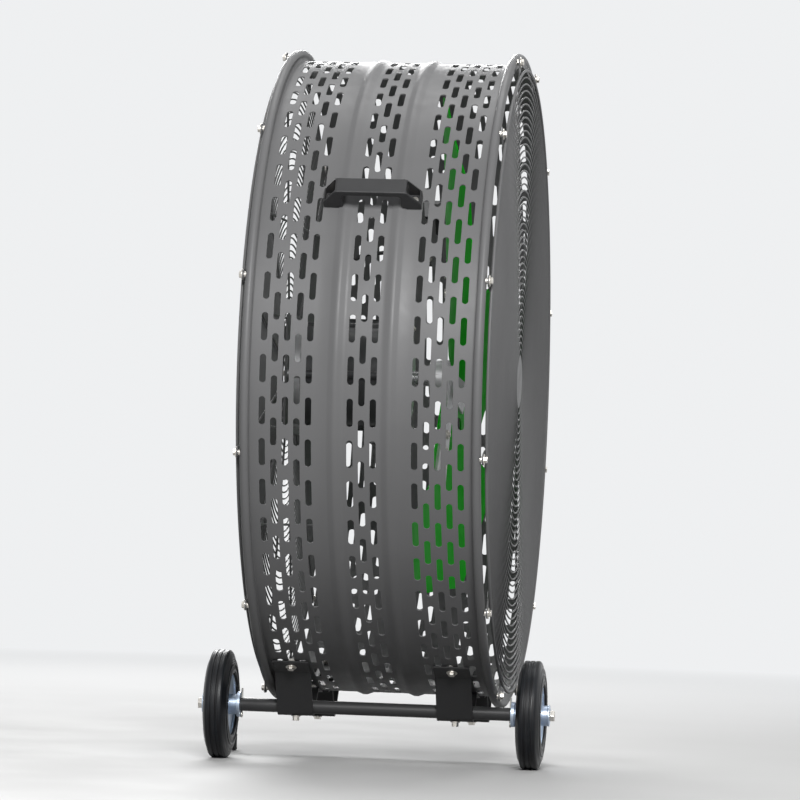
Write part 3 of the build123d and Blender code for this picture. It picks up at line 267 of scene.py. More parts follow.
class PaintSettings(bpy.types.PropertyGroup):
    """Colours of the finishes."""

    drum: colour("Drum", "Satin powder coat of the drum and guards", (0.165, 0.165, 0.167))
    bracket: colour("Brackets", "Matt black powder coat", (0.026, 0.026, 0.027))
    tube: colour("Axle tube", "Satin black powder coat", (0.042, 0.042, 0.043))
    moulding: colour("Mouldings", "Black moulded plastic", (0.030, 0.030, 0.031))
    knob: colour("Knob", "Dark plastic", (0.030, 0.030, 0.032))
    blades: colour("Blades", "Green paint", (0.006, 0.500, 0.010))
    motor: colour("Motor", "Enamel", (0.060, 0.061, 0.064))
    nickel: colour("Bolts", "Nickel plate", (0.72, 0.69, 0.64))
    zinc: colour("Zinc", "Blue zinc plate", (0.55, 0.62, 0.70))
    zinc_cloud: colour("Zinc cloud", "Colder clouds in the zinc plate", (0.50, 0.60, 0.76))
    casting: colour("Castings", "Cast aluminium", (0.60, 0.60, 0.61))
    steel: colour("Steel", "Ground steel", (0.52, 0.52, 0.53))
    core: colour("Core", "Stacked sheet steel", (0.16, 0.16, 0.17))
    copper: colour("Copper", "Enamelled wire", (0.55, 0.22, 0.09))
    tyre: colour("Tyre", "Black rubber", (0.008, 0.010, 0.013))
    tyre_rings: colour("Tyre rings", "Darker rings in the rubber", (0.002, 0.002, 0.003))
    tyre_dust: colour("Tyre dust", "Dust on the tread", (0.030, 0.029, 0.028))
    rubber: colour("Rubber", "Feet and grommet", (0.020, 0.020, 0.020))


class StageSettings(bpy.types.PropertyGroup):
    """The camera and the floor, and the light that comes from all round."""

    eye: FloatVectorProperty(name="Eye", description="Where the camera stands",
                             default=(0.9482, -7.6437, 0.4074), unit="LENGTH")
    yaw: angle("Yaw", "Turn from +Y towards +X", -7.0336)
    pitch: angle("Pitch", "Tilt above the horizon", 1.5027)
    roll: angle("Roll", "Turn about the line of sight", 1.8801)
    lens: FloatProperty(name="Lens", description="Focal length in millimetres", default=204.14)
    floor: colour("Floor", "Pale floor", (0.64, 0.64, 0.635))
    backdrop: colour("Backdrop", "What shows behind the fan", (0.86, 0.87, 0.88))
    fill: colour("Fill", "Soft light from all round", (0.06, 0.06, 0.062))
    bounce: colour("Bounce", "The floor as the fan's dull surfaces see it", (0.035, 0.035, 0.035))
    fade_start: length("Fade start", "Where the floor starts to fade into the backdrop", 1.2)
    fade_end: length("Fade end", "Where the floor has faded", 5.5)


class FanSettings(bpy.types.PropertyGroup):
    """All that a user would change."""

    drum: PointerProperty(type=DrumSettings)
    guard: PointerProperty(type=GuardSettings)
    wheel: PointerProperty(type=WheelSettings)
    dial: PointerProperty(type=DialSettings)
    paint: PointerProperty(type=PaintSettings)
    stage: PointerProperty(type=StageSettings)


# ------------------------------------------------------------------ shader maths


class Wire:
    """A socket in a node tree: sums and products of wires and numbers add Math nodes."""

    def __init__(self, nodes, socket):
        self.nodes = nodes
        self.socket = socket

    def __add__(self, other):
        return self.nodes.maths("ADD", self, other)

    def __radd__(self, other):
        return self.nodes.maths("ADD", other, self)

    def __sub__(self, other):
        return self.nodes.maths("SUBTRACT", self, other)

    def __rsub__(self, other):
        return self.nodes.maths("SUBTRACT", other, self)

    def __mul__(self, other):
        return self.nodes.maths("MULTIPLY", self, other)

    def __rmul__(self, other):
        return self.nodes.maths("MULTIPLY", other, self)

    def __pow__(self, other):
        return self.nodes.maths("POWER", self, other)


class Nodes:
    """A node tree, and the ways to add nodes to it."""

    def __init__(self, tree):
        self.tree = tree

    def feed(self, socket, value):
        """Link a wire to a socket, or set the socket's value."""
        if isinstance(value, Wire):
            self.tree.links.new(value.socket, socket)
        else:
            socket.default_value = value

    def node(self, kind, settings, *values, out=0, **named):
        """Add a node, set it up and feed its sockets by order or by name."""
        made = self.tree.nodes.new(kind)
        for setting, value in settings.items():
            setattr(made, setting, value)
        for key, value in [*enumerate(values), *named.items()]:
            self.feed(made.inputs[key], value)
        return Wire(self, made.outputs[out])

    def maths(self, operation, *terms):
        """A sum, product or the like of wires and numbers."""
        return self.node("ShaderNodeMath", {"operation": operation}, *terms)

    def between(self, value, low, high, to_low=0.0, to_high=1.0):
        """A value stretched from one range to another, and held inside it."""
        return self.node("ShaderNodeMapRange", {}, value, low, high, to_low, to_high)

    def mixed(self, factor, first, second):
        """A colour between two."""
        mix = self.node("ShaderNodeMix", {"data_type": "RGBA"}).socket.node
        for socket, value in zip(MIX_INPUTS, (factor, first, second)):
            self.feed(mix.inputs[socket], value)
        return Wire(self, mix.outputs[MIX_RESULT])

    def seen(self, plain, shown):
        """A colour that turns to another where the camera sees it, also in or through a surface."""
        path = self.node("ShaderNodeLightPath", {}).socket.node
        camera, mirrored, through = [Wire(self, path.outputs[f"Is {ray} Ray"])
                                     for ray in ("Camera", "Glossy", "Transmission")]
        looking = self.maths("MAXIMUM", self.maths("MAXIMUM", camera, mirrored), through)
        return self.mixed(looking, (*plain, 1.0), (*shown, 1.0))


class Finish(Nodes):
    """A material: one Principled shader and the nodes that feed it."""

    def __init__(self, name, colour, roughness, metallic=0.0, **fixed):
        self.material = bpy.data.materials.new(name)
        self.material.use_nodes = True
        super().__init__(self.material.node_tree)
        self.shader = self.tree.nodes["Principled BSDF"]
        self.colour = (*colour, 1.0)
        self.shade(Base_Color=self.colour, Roughness=roughness, Metallic=metallic, **fixed)
        self.place = self.node("ShaderNodeTexCoord", {}, out="Object")

    def shade(self, **sockets):
        """Feed the shader's sockets, named with _ for a space."""
        for socket, value in sockets.items():
            self.feed(self.shader.inputs[socket.replace("_", " ")], value)

    def scaled(self, along, across, up):
        """The place on the object, stretched along each axis."""
        return self.node("ShaderNodeVectorMath", {"operation": "MULTIPLY"}, self.place, (along, across, up))

    def joined(self, *parts):
        """A place made from three values."""
        return self.node("ShaderNodeCombineXYZ", {}, *parts)

    def round_x(self, centre):
        """Where a point is along a line in the X direction, out from it and round it."""
        parts = self.node("ShaderNodeSeparateXYZ", {}, self.place).socket.node
        along, across, up = [Wire(self, socket) for socket in parts.outputs]
        across, up = across - centre.y, up - centre.z
        return along, (across * across + up * up) ** 0.5, self.maths("ARCTAN2", across, up)

    def noise(self, scale, detail=3.0, place=None):
        """Soft noise from 0 to 1."""
        return self.node("ShaderNodeTexNoise", {}, Vector=place or self.place, Scale=scale, Detail=detail)

    def darker(self, pattern, share, low=NOISE_LOW, high=NOISE_HIGH):
        """The finish's own colour, darker by a share where a pattern has climbed from low to high."""
        dark = (*[part * (1 - share) for part in self.colour[:3]], 1.0)
        self.shade(Base_Color=self.mixed(self.between(pattern, low, high), self.colour, dark))

    def rough(self, pattern, low, high):
        """A roughness that climbs from low to high with a pattern."""
        self.shade(Roughness=self.between(pattern, NOISE_LOW, NOISE_HIGH, low, high))

    def bumped(self, height, distance, strength=1.0):
        """Raise the surface by a height, in metres where the height is 1."""
        self.shade(Normal=self.node("ShaderNodeBump", {}, Height=height, Distance=distance,
                                    Strength=strength))


# ------------------------------------------------------------------ finishes


def powder_coat(name, colour, roughness, metallic=0.0, gloss=0.5):
    """Powder coat: fine orange peel, and a faint cloud in the gloss and the colour."""
    finish = Finish(name, colour, roughness, metallic, Specular_IOR_Level=gloss)
    finish.darker(finish.noise(6.0), share=0.10)
    finish.rough(finish.noise(40.0), roughness - 0.04, roughness + 0.05)
    peel = finish.noise(900.0, detail=2.0)
    grit = finish.noise(2600.0, detail=1.0)
    finish.bumped(peel + grit * 0.4, distance=0.00009, strength=0.6)
    return finish.material


def moulded_plastic(name, colour, roughness):
    """Moulded plastic with a fine spark-eroded grain."""
    finish = Finish(name, colour, roughness, Specular_IOR_Level=0.45)
    grain = finish.node("ShaderNodeTexVoronoi", {}, Vector=finish.place, Scale=1500.0)
    finish.darker(finish.noise(25.0), share=0.15, low=0.35)
    finish.rough(finish.noise(60.0), roughness - 0.05, roughness + 0.07)
    finish.bumped(grain, distance=0.00010, strength=0.5)
    return finish.material


def plated_steel(name, colour, roughness):
    """Plated steel: drawn lines, and faint clouds in the plate."""
    finish = Finish(name, colour, roughness, metallic=1.0)
    finish.darker(finish.noise(120.0), share=0.22, low=0.35, high=0.75)
    lines = finish.noise(1.0, detail=2.0, place=finish.scaled(2400.0, 300.0, 300.0))
    finish.rough(lines, roughness - 0.04, roughness + 0.06)
    finish.bumped(lines, distance=0.000006, strength=0.3)
    return finish.material


def turned_zinc(name, colour, cloud, centre):
    """Zinc plate over turned and pressed steel: rings round the axle, and colder clouds."""
    finish = Finish(name, colour, 0.36, metallic=1.0)
    along, out, turn = finish.round_x(centre)
    rings = finish.noise(900.0, place=finish.joined(out, turn * METAL_DRIFT, along * METAL_SLOW))
    cold = finish.between(finish.noise(45.0), NOISE_LOW, NOISE_HIGH)
    finish.shade(Base_Color=finish.mixed(cold, finish.colour, (*cloud, 1.0)))
    finish.rough(rings, 0.32, 0.42)
    finish.bumped(rings, distance=0.00001, strength=0.3)
    return finish.material


def tyre_rubber(name, colour, dark, dust, centre, radius):
    """Moulded tyre: polished, with fine rings all over, and a little dust on the tread."""
    finish = Finish(name, colour, 0.4, Specular_IOR_Level=0.28)
    along, out, turn = finish.round_x(centre)
    rings = finish.noise(420.0, detail=2.0, place=finish.joined(out, turn * RUBBER_DRIFT, along))
    tread = finish.between(out, *[radius - depth for depth in TREAD_DUST])
    dusty = tread * finish.between(finish.noise(90.0), 0.4, 0.75, to_high=0.4)
    grey = finish.mixed(dusty, finish.colour, (*dust, 1.0))
    finish.shade(Base_Color=finish.mixed(finish.between(rings, 0.42, 0.58), (*dark, 1.0), grey))
    polish, worn, dull = 0.28, 0.10, 0.16
    finish.shade(Roughness=polish + tread * worn + finish.between(rings, 0.4, 0.6, dull, 0.0))
    finish.bumped(rings, distance=0.00030, strength=0.7)
    return finish.material


def soft_rubber(name, colour):
    """Dull rubber with a fine grain."""
    finish = Finish(name, colour, 0.62)
    grain = finish.noise(1800.0, detail=2.0)
    finish.darker(finish.noise(70.0), share=0.2)
    finish.rough(grain, 0.55, 0.72)
    finish.bumped(grain, distance=0.00006, strength=0.5)
    return finish.material


def blade_paint(name, colour):
    """Paint on sheet steel, with slight runs and a faint film of dust."""
    finish = Finish(name, colour, 0.50, Specular_IOR_Level=0.06)
    finish.darker(finish.noise(9.0), share=0.16, high=0.75)
    finish.rough(finish.noise(30.0), 0.44, 0.56)
    finish.bumped(finish.noise(500.0, detail=2.0), distance=0.00006, strength=0.5)
    return finish.material


def cast_metal(name, colour):
    """Sand-cast aluminium."""
    finish = Finish(name, colour, 0.48, metallic=0.9)
    grain = finish.noise(700.0, detail=4.0)
    finish.darker(finish.noise(80.0), share=0.18)
    finish.rough(grain, 0.40, 0.60)
    finish.bumped(grain, distance=0.00018, strength=0.6)
    return finish.material


def ground_steel(name, colour, centre):
    """Ground steel, with fine marks round the shaft."""
    finish = Finish(name, colour, 0.24, metallic=1.0)
    along, out, turn = finish.round_x(centre)
    marks = finish.noise(1600.0, detail=2.0,
                         place=finish.joined(along, out * METAL_SLOW, turn * METAL_DRIFT))
    finish.darker(finish.noise(60.0), share=0.15)
    finish.rough(marks, 0.18, 0.34)
    finish.bumped(marks, distance=0.00002, strength=0.5)
    return finish.material


def stacked_sheet(name, colour):
    """The edges of thin sheets stacked along the shaft."""
    finish = Finish(name, colour, 0.5, metallic=0.8)
    edges = finish.noise(1.0, detail=1.0, place=finish.scaled(2200.0, 6.0, 6.0))
    finish.darker(edges, share=0.4, low=0.4, high=0.6)
    finish.rough(edges, 0.4, 0.6)
    finish.bumped(edges, distance=0.00010, strength=0.7)
    return finish.material


def wound_wire(name, colour, centre):
    """A bundle of enamelled wires that runs round the shaft."""
    finish = Finish(name, colour, 0.3, metallic=0.85, Coat_Weight=0.4)
    along, out, turn = finish.round_x(centre)
    wires = finish.noise(1100.0, detail=1.0, place=finish.joined(along, out, turn * WINDING_DRIFT))
    finish.darker(wires, share=0.5, low=0.4, high=0.6)
    finish.rough(wires, 0.25, 0.4)
    finish.bumped(wires, distance=0.0004, strength=0.8)
    return finish.material


finishes = {}       # by the record's slot, or by node where its look differs from its slot's


def finish_of(node):
    """A node's own finish, or that of the slot that the record gives it."""
    return finishes.get(node) or finishes[NODE_SLOTS[node]]


# ------------------------------------------------------------------ shapes


def radial(turn):
    """The direction outwards from the fan's axis at an angle round the drum."""
    return Vector((0.0, -math.cos(math.radians(turn)), math.sin(math.radians(turn))))


def made_mesh(name, shape):
    """Turn a bmesh into a mesh."""
    mesh = bpy.data.meshes.new(name)
    shape.to_mesh(mesh)
    shape.free()
    return mesh


def linked(name, data):
    """A new object in the scene."""
    made = bpy.data.objects.new(name, data)
    bpy.context.scene.collection.objects.link(made)
    return made


def make_piece(name, shape, *nodes, corner=38.0, stands_for=True):
    """Turn a bmesh into a piece with a node's body and finish, smooth but for its corners."""
    mesh = made_mesh(name, shape)
    mesh.polygons.foreach_set("use_smooth", [True] * len(mesh.polygons))
    mesh.set_sharp_from_angle(angle=math.radians(corner))
    mesh.materials.append(finish_of(nodes[0]))
    piece = linked(name, mesh)
    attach(piece, frame["nodes"][nodes[0]]["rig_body"])
    if stands_for:
        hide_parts(*nodes)
    return piece


def merged_copy(node):
    """A copy of a node's mesh with its loose triangles joined and its flats made whole."""
    shape = bmesh.new()
    shape.from_mesh(frame["nodes"][node].data)
    bmesh.ops.remove_doubles(shape, verts=shape.verts, dist=SMALL_MERGE)
    bmesh.ops.dissolve_limit(shape, angle_limit=FLAT, verts=shape.verts, edges=shape.edges)
    return shape


def broken_edges(shape, width, corner=32.0):
    """Round the sharp edges of a shape."""
    sharp = [edge for edge in shape.edges
             if edge.is_manifold and edge.calc_face_angle() > math.radians(corner)]
    bmesh.ops.bevel(shape, geom=sharp, offset=width, offset_type="OFFSET", segments=EDGE_PARTS,
                    profile=0.5, affect="EDGES", material=-1, clamp_overlap=True)


def outline(shape, points):
    """Edges round a closed line of points."""
    corners = [shape.verts.new(point) for point in points]
    return corners + [shape.edges.new(pair) for pair in zip(corners, corners[1:] + corners[:1])]


def turned(shape, sections, centre, steps):
    """Spin closed sections, given along X and out from a centre line, all the way round it."""
    loops = []
    for section in sections:
        loops += outline(shape, [centre + Vector((along, 0.0, out)) for along, out in section])
    bmesh.ops.spin(shape, geom=loops, cent=centre, axis=ALONG, angle=math.tau, steps=steps, use_merge=True)
    facing_out(shape)


def arc(along, out, radius, start, stop, parts):
    """Points of an arc in a section: angles are from the X direction towards outwards."""
    turns = [math.radians(start + (stop - start) * part / parts) for part in range(parts + 1)]
    return [(along + radius * math.cos(turn), out + radius * math.sin(turn)) for turn in turns]


def facing_out(shape):
    """Make a closed shape's faces point outwards."""
    bmesh.ops.recalc_face_normals(shape, faces=shape.faces)


# ------------------------------------------------------------------ drum


def sheet_grid(shape, at, across, round_drum, columns):
    """A rectangle of flat sheet: x runs along the axis, y round the drum."""
    return bmesh.ops.create_grid(shape, x_segments=columns, y_segments=SHEET_PARTS, size=0.5,
                                 matrix=at @ Matrix.Diagonal((across, round_drum, 1.0, 1.0)))


def slot_cell(shape, drum, along, round_drum, pitch):
    """A slot with its share of the flat sheet round it."""
    straight = drum.slot_length - drum.slot_width
    at = Matrix.Translation((along, round_drum, 0.0))
    grid = sheet_grid(shape, at, drum.slot_column, pitch, 2)
    edges = {edge for corner in grid["verts"] for edge in corner.link_edges}
    border = [edge for edge in edges if edge.is_boundary]
    inner = [corner for corner in grid["verts"] if not corner.is_boundary]
    bmesh.ops.delete(shape, geom=inner, context="VERTS")
    hole = bmesh.ops.create_circle(shape, segments=SLOT_END_PARTS * 2, radius=drum.slot_width / 2,
                                   matrix=at @ Matrix.Rotation(math.pi / SLOT_END_PARTS / 2, 4, "Z"))
    for corner in hole["verts"]:
        corner.co.y += math.copysign(straight / 2, corner.co.y - round_drum)
    rim = list({edge for corner in hole["verts"] for edge in corner.link_edges})
    sides = [edge for edge in rim if edge.calc_length() > straight * SLOT_SIDE]
    cut = bmesh.ops.subdivide_edges(shape, edges=sides, cuts=SLOT_SIDE_CUTS)
    rim = set(rim) | {edge for edge in cut["geom"] if isinstance(edge, bmesh.types.BMEdge)}
    bmesh.ops.bridge_loops(shape, edges=border + list(rim))


def plain_strip(shape, lines, pitch):
    """A strip of flat sheet without slots, cut along lines across the drum's axis."""
    for start, stop in zip(lines, lines[1:]):
        sheet_grid(shape, Matrix.Translation(((start + stop) / 2, 0.0, 0.0)), stop - start, pitch, 1)


class DRUMFAN_OT_drum(bpy.types.Operator):
    """Roll the slotted sheet of the drum, with its two raised ribs"""

    bl_idname = "drum_fan.drum"
    bl_label = "Slotted drum"

    def execute(self, context):
        drum = context.scene.drum_fan.drum
        pitch = math.tau * drum.radius / drum.slot_rows
        step = drum.slot_column
        shape = bmesh.new()
        for band, columns in ((-1, OUTER_COLUMNS), (1, OUTER_COLUMNS), (0, MIDDLE_COLUMNS)):
            for column in range(-(columns // 2), columns // 2 + 1):
                odd = (column % 2 == 1) if band else (column == 0)
                slot_cell(shape, drum, band * drum.slot_band + column * step, pitch / 2 * odd, pitch)
        foot = drum.rib_place - drum.rib_width / 2
        ribs = [foot + drum.rib_width * part / RIB_PARTS for part in range(RIB_PARTS + 1)]
        middle_half, outer_half = MIDDLE_COLUMNS / 2 * step, OUTER_COLUMNS / 2 * step
        for side in (-1, 1):
            for lines in ([middle_half, *ribs, drum.slot_band - outer_half],
                          [drum.slot_band + outer_half, drum.length / 2]):
                plain_strip(shape, sorted(side * line for line in lines), pitch)
        bmesh.ops.remove_doubles(shape, verts=shape.verts, dist=MERGE)
        for corner in shape.verts:
            along, round_drum = corner.co.x, corner.co.y
            rise = min(1.0, abs(abs(along) - drum.rib_place) / (drum.rib_width / 2))
            out = drum.radius + drum.rib_height * min(1.0, (1.0 - rise) / (1.0 - RIB_CREST))
            turn = drum.slot_phase + math.degrees(round_drum / drum.radius)
            corner.co = DRUM_MIDDLE + ALONG * along + radial(turn) * out
        row = math.tau / drum.slot_rows
        bmesh.ops.spin(shape, geom=shape.verts[:] + shape.edges[:] + shape.faces[:], cent=DRUM_MIDDLE,
                       axis=ALONG, angle=row * (drum.slot_rows - 1), steps=drum.slot_rows - 1,
                       use_duplicate=True)
        bmesh.ops.remove_doubles(shape, verts=shape.verts, dist=MERGE)
        facing_out(shape)
        shape.faces.ensure_lookup_table()
        first = shape.faces[0]
        outwards = first.calc_center_median() - DRUM_MIDDLE
        outwards.x = 0.0
        if first.normal.dot(outwards) < 0:
            bmesh.ops.reverse_faces(shape, faces=shape.faces)
        bmesh.ops.solidify(shape, geom=shape.faces[:], thickness=drum.wall)
        make_piece("slotted_drum", shape, "drum_shell")
        return {"FINISHED"}


class DRUMFAN_OT_rims(bpy.types.Operator):
    """Roll the tube at each end of the drum, on its neck of sheet"""

    bl_idname = "drum_fan.rims"
    bl_label = "Rims"

    def execute(self, context):
        drum = context.scene.drum_fan.drum
        end = drum.length / 2
        tube_x = end - drum.rim_inset
        tube_out = drum.radius + drum.rim_rise
        inner = end - drum.neck_width
        meets = [math.degrees(math.acos((place - tube_x) / drum.rim_tube)) for place in (end, inner)]
        section = [(end, drum.radius)]
        section += arc(tube_x, tube_out, drum.rim_tube, -meets[0], 360 - meets[1], RIM_TUBE_PARTS)
        section += [(inner - drum.neck_bead * along, drum.radius + drum.neck_bead * out)
                    for along, out in NECK_BEAD]
        for name, side in (("front", 1), ("rear", -1)):
            shape = bmesh.new()
            turned(shape, [[(side * along, out) for along, out in section]], DRUM_MIDDLE, RIM_PARTS)
            make_piece(f"{name}_rolled_rim", shape, f"{name}_rim", corner=50.0)
        return {"FINISHED"}


class DRUMFAN_OT_guards(bpy.types.Operator):
    """Make the rings and the spokes of both guards"""

    bl_idname = "drum_fan.guards"
    bl_label = "Wire guards"

    def execute(self, context):
        guard = context.scene.drum_fan.guard
        wires = [guard.outer_wire] + [guard.wire] * (guard.ring_count - 1)
        last = 360.0 * (WIRE_SIDES - 1) / WIRE_SIDES
        reach = guard.spoke_end - guard.spoke_start
        for name, side in (("front", 1), ("rear", -1)):
            shape = bmesh.new()
            turned(shape, [arc(side * (guard.seat + wire / 2), guard.outer_radius - ring * guard.pitch,
                               wire / 2, 0.0, last, WIRE_SIDES - 1) for ring, wire in enumerate(wires)],
                   DRUM_MIDDLE, RING_PARTS)
            make_piece(f"{name}_rings", shape, f"{name}_guard_rings", corner=60.0)

            shape = bmesh.new()
            seat = DRUM_MIDDLE + ALONG * side * (guard.seat - guard.spoke_wire / 2)
            for spoke in range(guard.spoke_count):
                out = radial(guard.spoke_phase + spoke * 360.0 / guard.spoke_count)
                lie = out.to_track_quat("Z", "Y").to_matrix().to_4x4()
                place = Matrix.Translation(seat + out * (guard.spoke_start + reach / 2)) @ lie
                bmesh.ops.create_cone(shape, cap_ends=True, segments=SPOKE_SIDES, depth=reach,
                                      radius1=guard.spoke_wire / 2, radius2=guard.spoke_wire / 2,
                                      matrix=place)
            broken_edges(shape, guard.spoke_wire * SPOKE_EDGE, corner=60.0)
            make_piece(f"{name}_spokes", shape, f"{name}_guard_spokes")
        return {"FINISHED"}


# ------------------------------------------------------------------ wheels


class DRUMFAN_OT_tyres(bpy.types.Operator):
    """Mould the two ribbed tyres"""

    bl_idname = "drum_fan.tyres"
    bl_label = "Tyres"

    def execute(self, context):
        wheel = context.scene.drum_fan.wheel
        near, far = wheel.groove_place - wheel.groove / 2, wheel.groove_place + wheel.groove / 2
        floor = wheel.radius - wheel.groove_depth
        bevel = wheel.groove * GROOVE_EDGE
        tread = [(0.0, wheel.radius), (near - bevel, wheel.radius), (near, wheel.radius - bevel),
                 (near + bevel, floor), (far - bevel, floor), (far, wheel.radius - bevel),
                 (far + bevel, wheel.radius), (wheel.crown - wheel.crown_edge, wheel.radius),
                 (wheel.crown, wheel.radius - wheel.crown_edge / 2)]
        flank = [(wheel.half_width - across, wheel.radius - down) for across, down in TYRE_FLANK]
        half = tread + flank + [(wheel.bead, wheel.seat), (wheel.tongue, wheel.seat),
                                (wheel.tongue, wheel.tongue_radius)]
        section = half + [(-along, out) for along, out in reversed(half) if along > 0.0]
        for name in ("front", "rear"):
            node = f"{name}_tyre"
            shape = bmesh.new()
            turned(shape, [section], middle(node), TYRE_PARTS)
            make_piece(f"{name}_ribbed_tyre", shape, node, corner=30.0)
        return {"FINISHED"}


# ------------------------------------------------------------------ dial


class DRUMFAN_OT_dial(bpy.types.Operator):
    """Set the numbers 0 to 3 and their ticks round the speed knob, raised on the lid"""

    bl_idname = "drum_fan.dial"
    bl_label = "Dial"

    def execute(self, context):
        dial = context.scene.drum_fan.dial
        hinge = next(joint for joint in frame["joints"] if joint["name"] == "speed_knob")
        axis = Vector(hinge["axis"]).normalized()
        foot = Vector(hinge["pos_m"])
        lid = [axis.dot(Vector(corner.co)) for corner in frame["nodes"]["switch_box_lid"].data.vertices]
        foot += axis * (max(lid) - axis.dot(foot))
        shape = bmesh.new()
        for step in range(dial.steps):
            out = Matrix.Rotation(math.radians(dial.first + step * dial.spread), 3, axis) @ ALONG
            lie = Matrix((out.cross(axis), out, axis)).transposed().to_4x4()
            text = bpy.data.curves.new(f"number_{step}", "FONT")
            text.body = str(step)
            text.size = dial.size
            text.extrude = dial.raised
            text.align_x = text.align_y = "CENTER"
            holder = linked(text.name, text)
            context.view_layer.update()
            letter = bpy.data.meshes.new_from_object(holder.evaluated_get(context.evaluated_depsgraph_get()))
            letter.transform(Matrix.Translation(foot + out * dial.number_radius) @ lie)
            shape.from_mesh(letter)
            bpy.data.objects.remove(holder)
            bpy.data.meshes.remove(letter)
            tick = Matrix.Translation(foot + out * dial.tick_radius) @ lie
            bmesh.ops.create_cube(shape, size=1.0, matrix=tick @ Matrix.Diagonal(
                (dial.tick_width, dial.tick_length, 2 * dial.raised, 1.0)))
        bmesh.ops.remove_doubles(shape, verts=shape.verts, dist=SMALL_MERGE)
        facing_out(shape)
        make_piece("dial_numbers", shape, "mounting_screws", stands_for=False)
        return {"FINISHED"}


# ------------------------------------------------------------------ pieces that keep their CAD shape


class DRUMFAN_OT_hardware(bpy.types.Operator):
    """Break the edges of the pieces that keep their CAD shape, and finish what is inside"""

    bl_idname = "drum_fan.hardware"
    bl_label = "Hardware"

    def execute(self, context):
        for node, edge in ROUNDED.items():
            shape = merged_copy(node)
            broken_edges(shape, edge)
            piece = make_piece(f"{node}_rounded", shape, node)
            shading = piece.modifiers.new("flat_faces", "WEIGHTED_NORMAL")
            shading.keep_sharp = True
        for node, part in frame["nodes"].items():
            if not part.hide_render:
                part.data.materials.clear()
                part.data.materials.append(finish_of(node))
        return {"FINISHED"}


# ------------------------------------------------------------------ the finishes' operator


class DRUMFAN_OT_finishes(bpy.types.Operator):
    """Mix the finishes of all the record's material slots"""

    bl_idname = "drum_fan.finishes"
    bl_label = "Finishes"

    def execute(self, context):
        paint = context.scene.drum_fan.paint
        axle = middle("axle_tube")
        tread = context.scene.drum_fan.wheel.radius
        finishes.update({
            "drum_paint": powder_coat("satin_grey_coat", paint.drum, 0.42, metallic=0.05, gloss=0.18),
            "bracket_paint": powder_coat("matt_black_coat", paint.bracket, 0.55, gloss=0.35),
            "axle_tube": powder_coat("satin_black_coat", paint.tube, 0.42, gloss=0.3),
            "motor_paint": powder_coat("grey_enamel", paint.motor, 0.36),
            "handle_plastic": moulded_plastic("black_moulding", paint.moulding, 0.48),
            "knob_plastic": moulded_plastic("dark_moulding", paint.knob, 0.36),
            "bright_steel": plated_steel("nickel_plate", paint.nickel, 0.30),
            "zinc_steel": turned_zinc("blue_zinc_plate", paint.zinc, paint.zinc_cloud, axle),
            "bell_metal": cast_metal("cast_aluminium", paint.casting),
            "shaft_steel": ground_steel("ground_steel", paint.steel, DRUM_MIDDLE),
            "core_steel": stacked_sheet("stacked_steel", paint.core),
            "copper": wound_wire("copper_winding", paint.copper, DRUM_MIDDLE),
            "blade_paint": blade_paint("green_paint", paint.blades),
            "tyre_rubber": tyre_rubber("tyre_rubber_black", paint.tyre, paint.tyre_rings, paint.tyre_dust,
                                       axle, tread),
            "foot_rubber": soft_rubber("black_rubber", paint.rubber),
        })
        finishes["wheel_bolts"] = finishes["bright_steel"]
        return {"FINISHED"}


# ------------------------------------------------------------------ stage


def lay_floor(stage):
    """A pale floor that fades into the backdrop."""
    shape = bmesh.new()
    bmesh.ops.create_grid(shape, x_segments=1, y_segments=1, size=FLOOR_REACH)
    floor = linked("floor", made_mesh("floor", shape))
    pale = Finish("floor_pale", stage.floor, 0.7)
    pale.rough(pale.noise(3.0), 0.65, 0.75)
    pale.shade(Base_Color=pale.seen(stage.bounce, stage.floor))
    away = pale.node("ShaderNodeVectorMath", {"operation": "LENGTH"}, pale.place, out="Value")
    faded = pale.between(away, stage.fade_start, stage.fade_end)
    backdrop = pale.node("ShaderNodeEmission", {}, (*stage.backdrop, 1.0))
    surface = pale.node("ShaderNodeMixShader", {}, faded, Wire(pale, pale.shader.outputs[0]), backdrop)
    pale.feed(pale.tree.nodes["Material Output"].inputs["Surface"], surface)
    floor.data.materials.append(pale.material)


def light_room(stage):
    """Soft light from all round, and the backdrop above the floor."""
    world = bpy.data.worlds.new("studio")
    world.use_nodes = True
    sky = Nodes(world.node_tree)
    sky.feed(sky.tree.nodes["Background"].inputs["Color"], sky.seen(stage.fill, stage.backdrop))
    bpy.context.scene.world = world


def hang_lamp(name, place, size, power):
    """A soft lamp that faces the fan."""
    light = bpy.data.lights.new(name, "AREA")
    light.shape = "RECTANGLE"
    light.size, light.size_y = size
    light.energy = power
    lamp = linked(name, light)
    lamp.location = place
    lamp.rotation_euler = (Vector(LAMP_AIM) - Vector(place)).to_track_quat("-Z", "Y").to_euler()


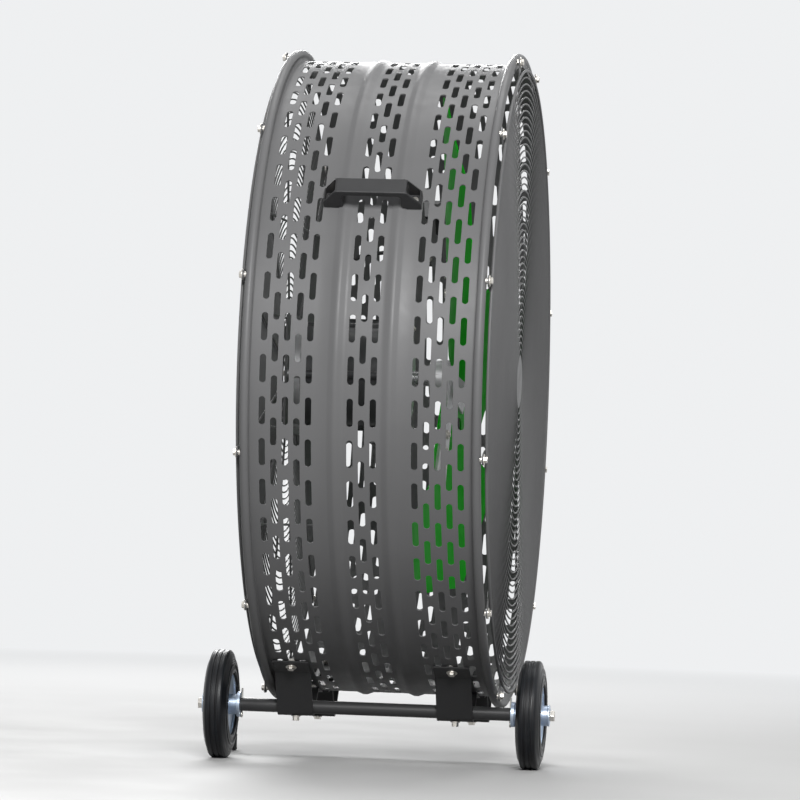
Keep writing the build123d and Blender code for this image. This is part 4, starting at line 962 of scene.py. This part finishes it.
def place_camera(stage):
    """The camera at the photograph's viewing angle."""
    yaw, pitch, roll = [math.radians(turn) for turn in (stage.yaw, stage.pitch, stage.roll)]
    ahead = Vector((math.sin(yaw) * math.cos(pitch), math.cos(yaw) * math.cos(pitch), math.sin(pitch)))
    level = Vector((math.cos(yaw), -math.sin(yaw), 0.0))
    above = level.cross(ahead)
    right = level * math.cos(roll) + above * math.sin(roll)
    up = above * math.cos(roll) - level * math.sin(roll)
    camera = linked("photo_camera", bpy.data.cameras.new("photo_camera"))
    camera.data.sensor_width = SENSOR_MM
    camera.data.lens = stage.lens
    camera.data.clip_end = FAR_CLIP
    facing = Matrix((right, up, -ahead)).transposed().to_4x4()
    camera.matrix_world = Matrix.Translation(stage.eye) @ facing
    bpy.context.scene.camera = camera


class DRUMFAN_OT_stage(bpy.types.Operator):
    """Lay the floor, hang the lamps and place the camera"""

    bl_idname = "drum_fan.stage"
    bl_label = "Stage"

    def execute(self, context):
        stage = context.scene.drum_fan.stage
        lay_floor(stage)
        light_room(stage)
        for lamp in LAMPS:
            hang_lamp(*lamp)
        place_camera(stage)
        context.scene.view_settings.view_transform = "Standard"
        return {"FINISHED"}


class DRUMFAN_PT_sidebar(bpy.types.Panel):
    """The buttons that make the drum fan"""

    bl_label = "Drum fan"
    bl_idname = "DRUMFAN_PT_sidebar"
    bl_space_type = "VIEW_3D"
    bl_region_type = "UI"
    bl_category = "Drum fan"

    def draw(self, context):
        for operator in OPERATORS:
            self.layout.operator(operator.bl_idname)


GROUPS = (DrumSettings, GuardSettings, WheelSettings, DialSettings, PaintSettings, StageSettings,
          FanSettings)
OPERATORS = (DRUMFAN_OT_finishes, DRUMFAN_OT_drum, DRUMFAN_OT_rims, DRUMFAN_OT_guards, DRUMFAN_OT_tyres,
             DRUMFAN_OT_dial, DRUMFAN_OT_hardware, DRUMFAN_OT_stage)


def register():
    for group in (*GROUPS, *OPERATORS, DRUMFAN_PT_sidebar):
        bpy.utils.register_class(group)
    bpy.types.Scene.drum_fan = PointerProperty(type=FanSettings)


def unregister():
    del bpy.types.Scene.drum_fan
    for group in reversed((*GROUPS, *OPERATORS, DRUMFAN_PT_sidebar)):
        bpy.utils.unregister_class(group)


def main():
    """Make the whole fan."""
    register()
    for operator in OPERATORS:
        namespace, name = operator.bl_idname.split(".")
        getattr(getattr(bpy.ops, namespace), name)()


if __name__ == "__main__":
    main()
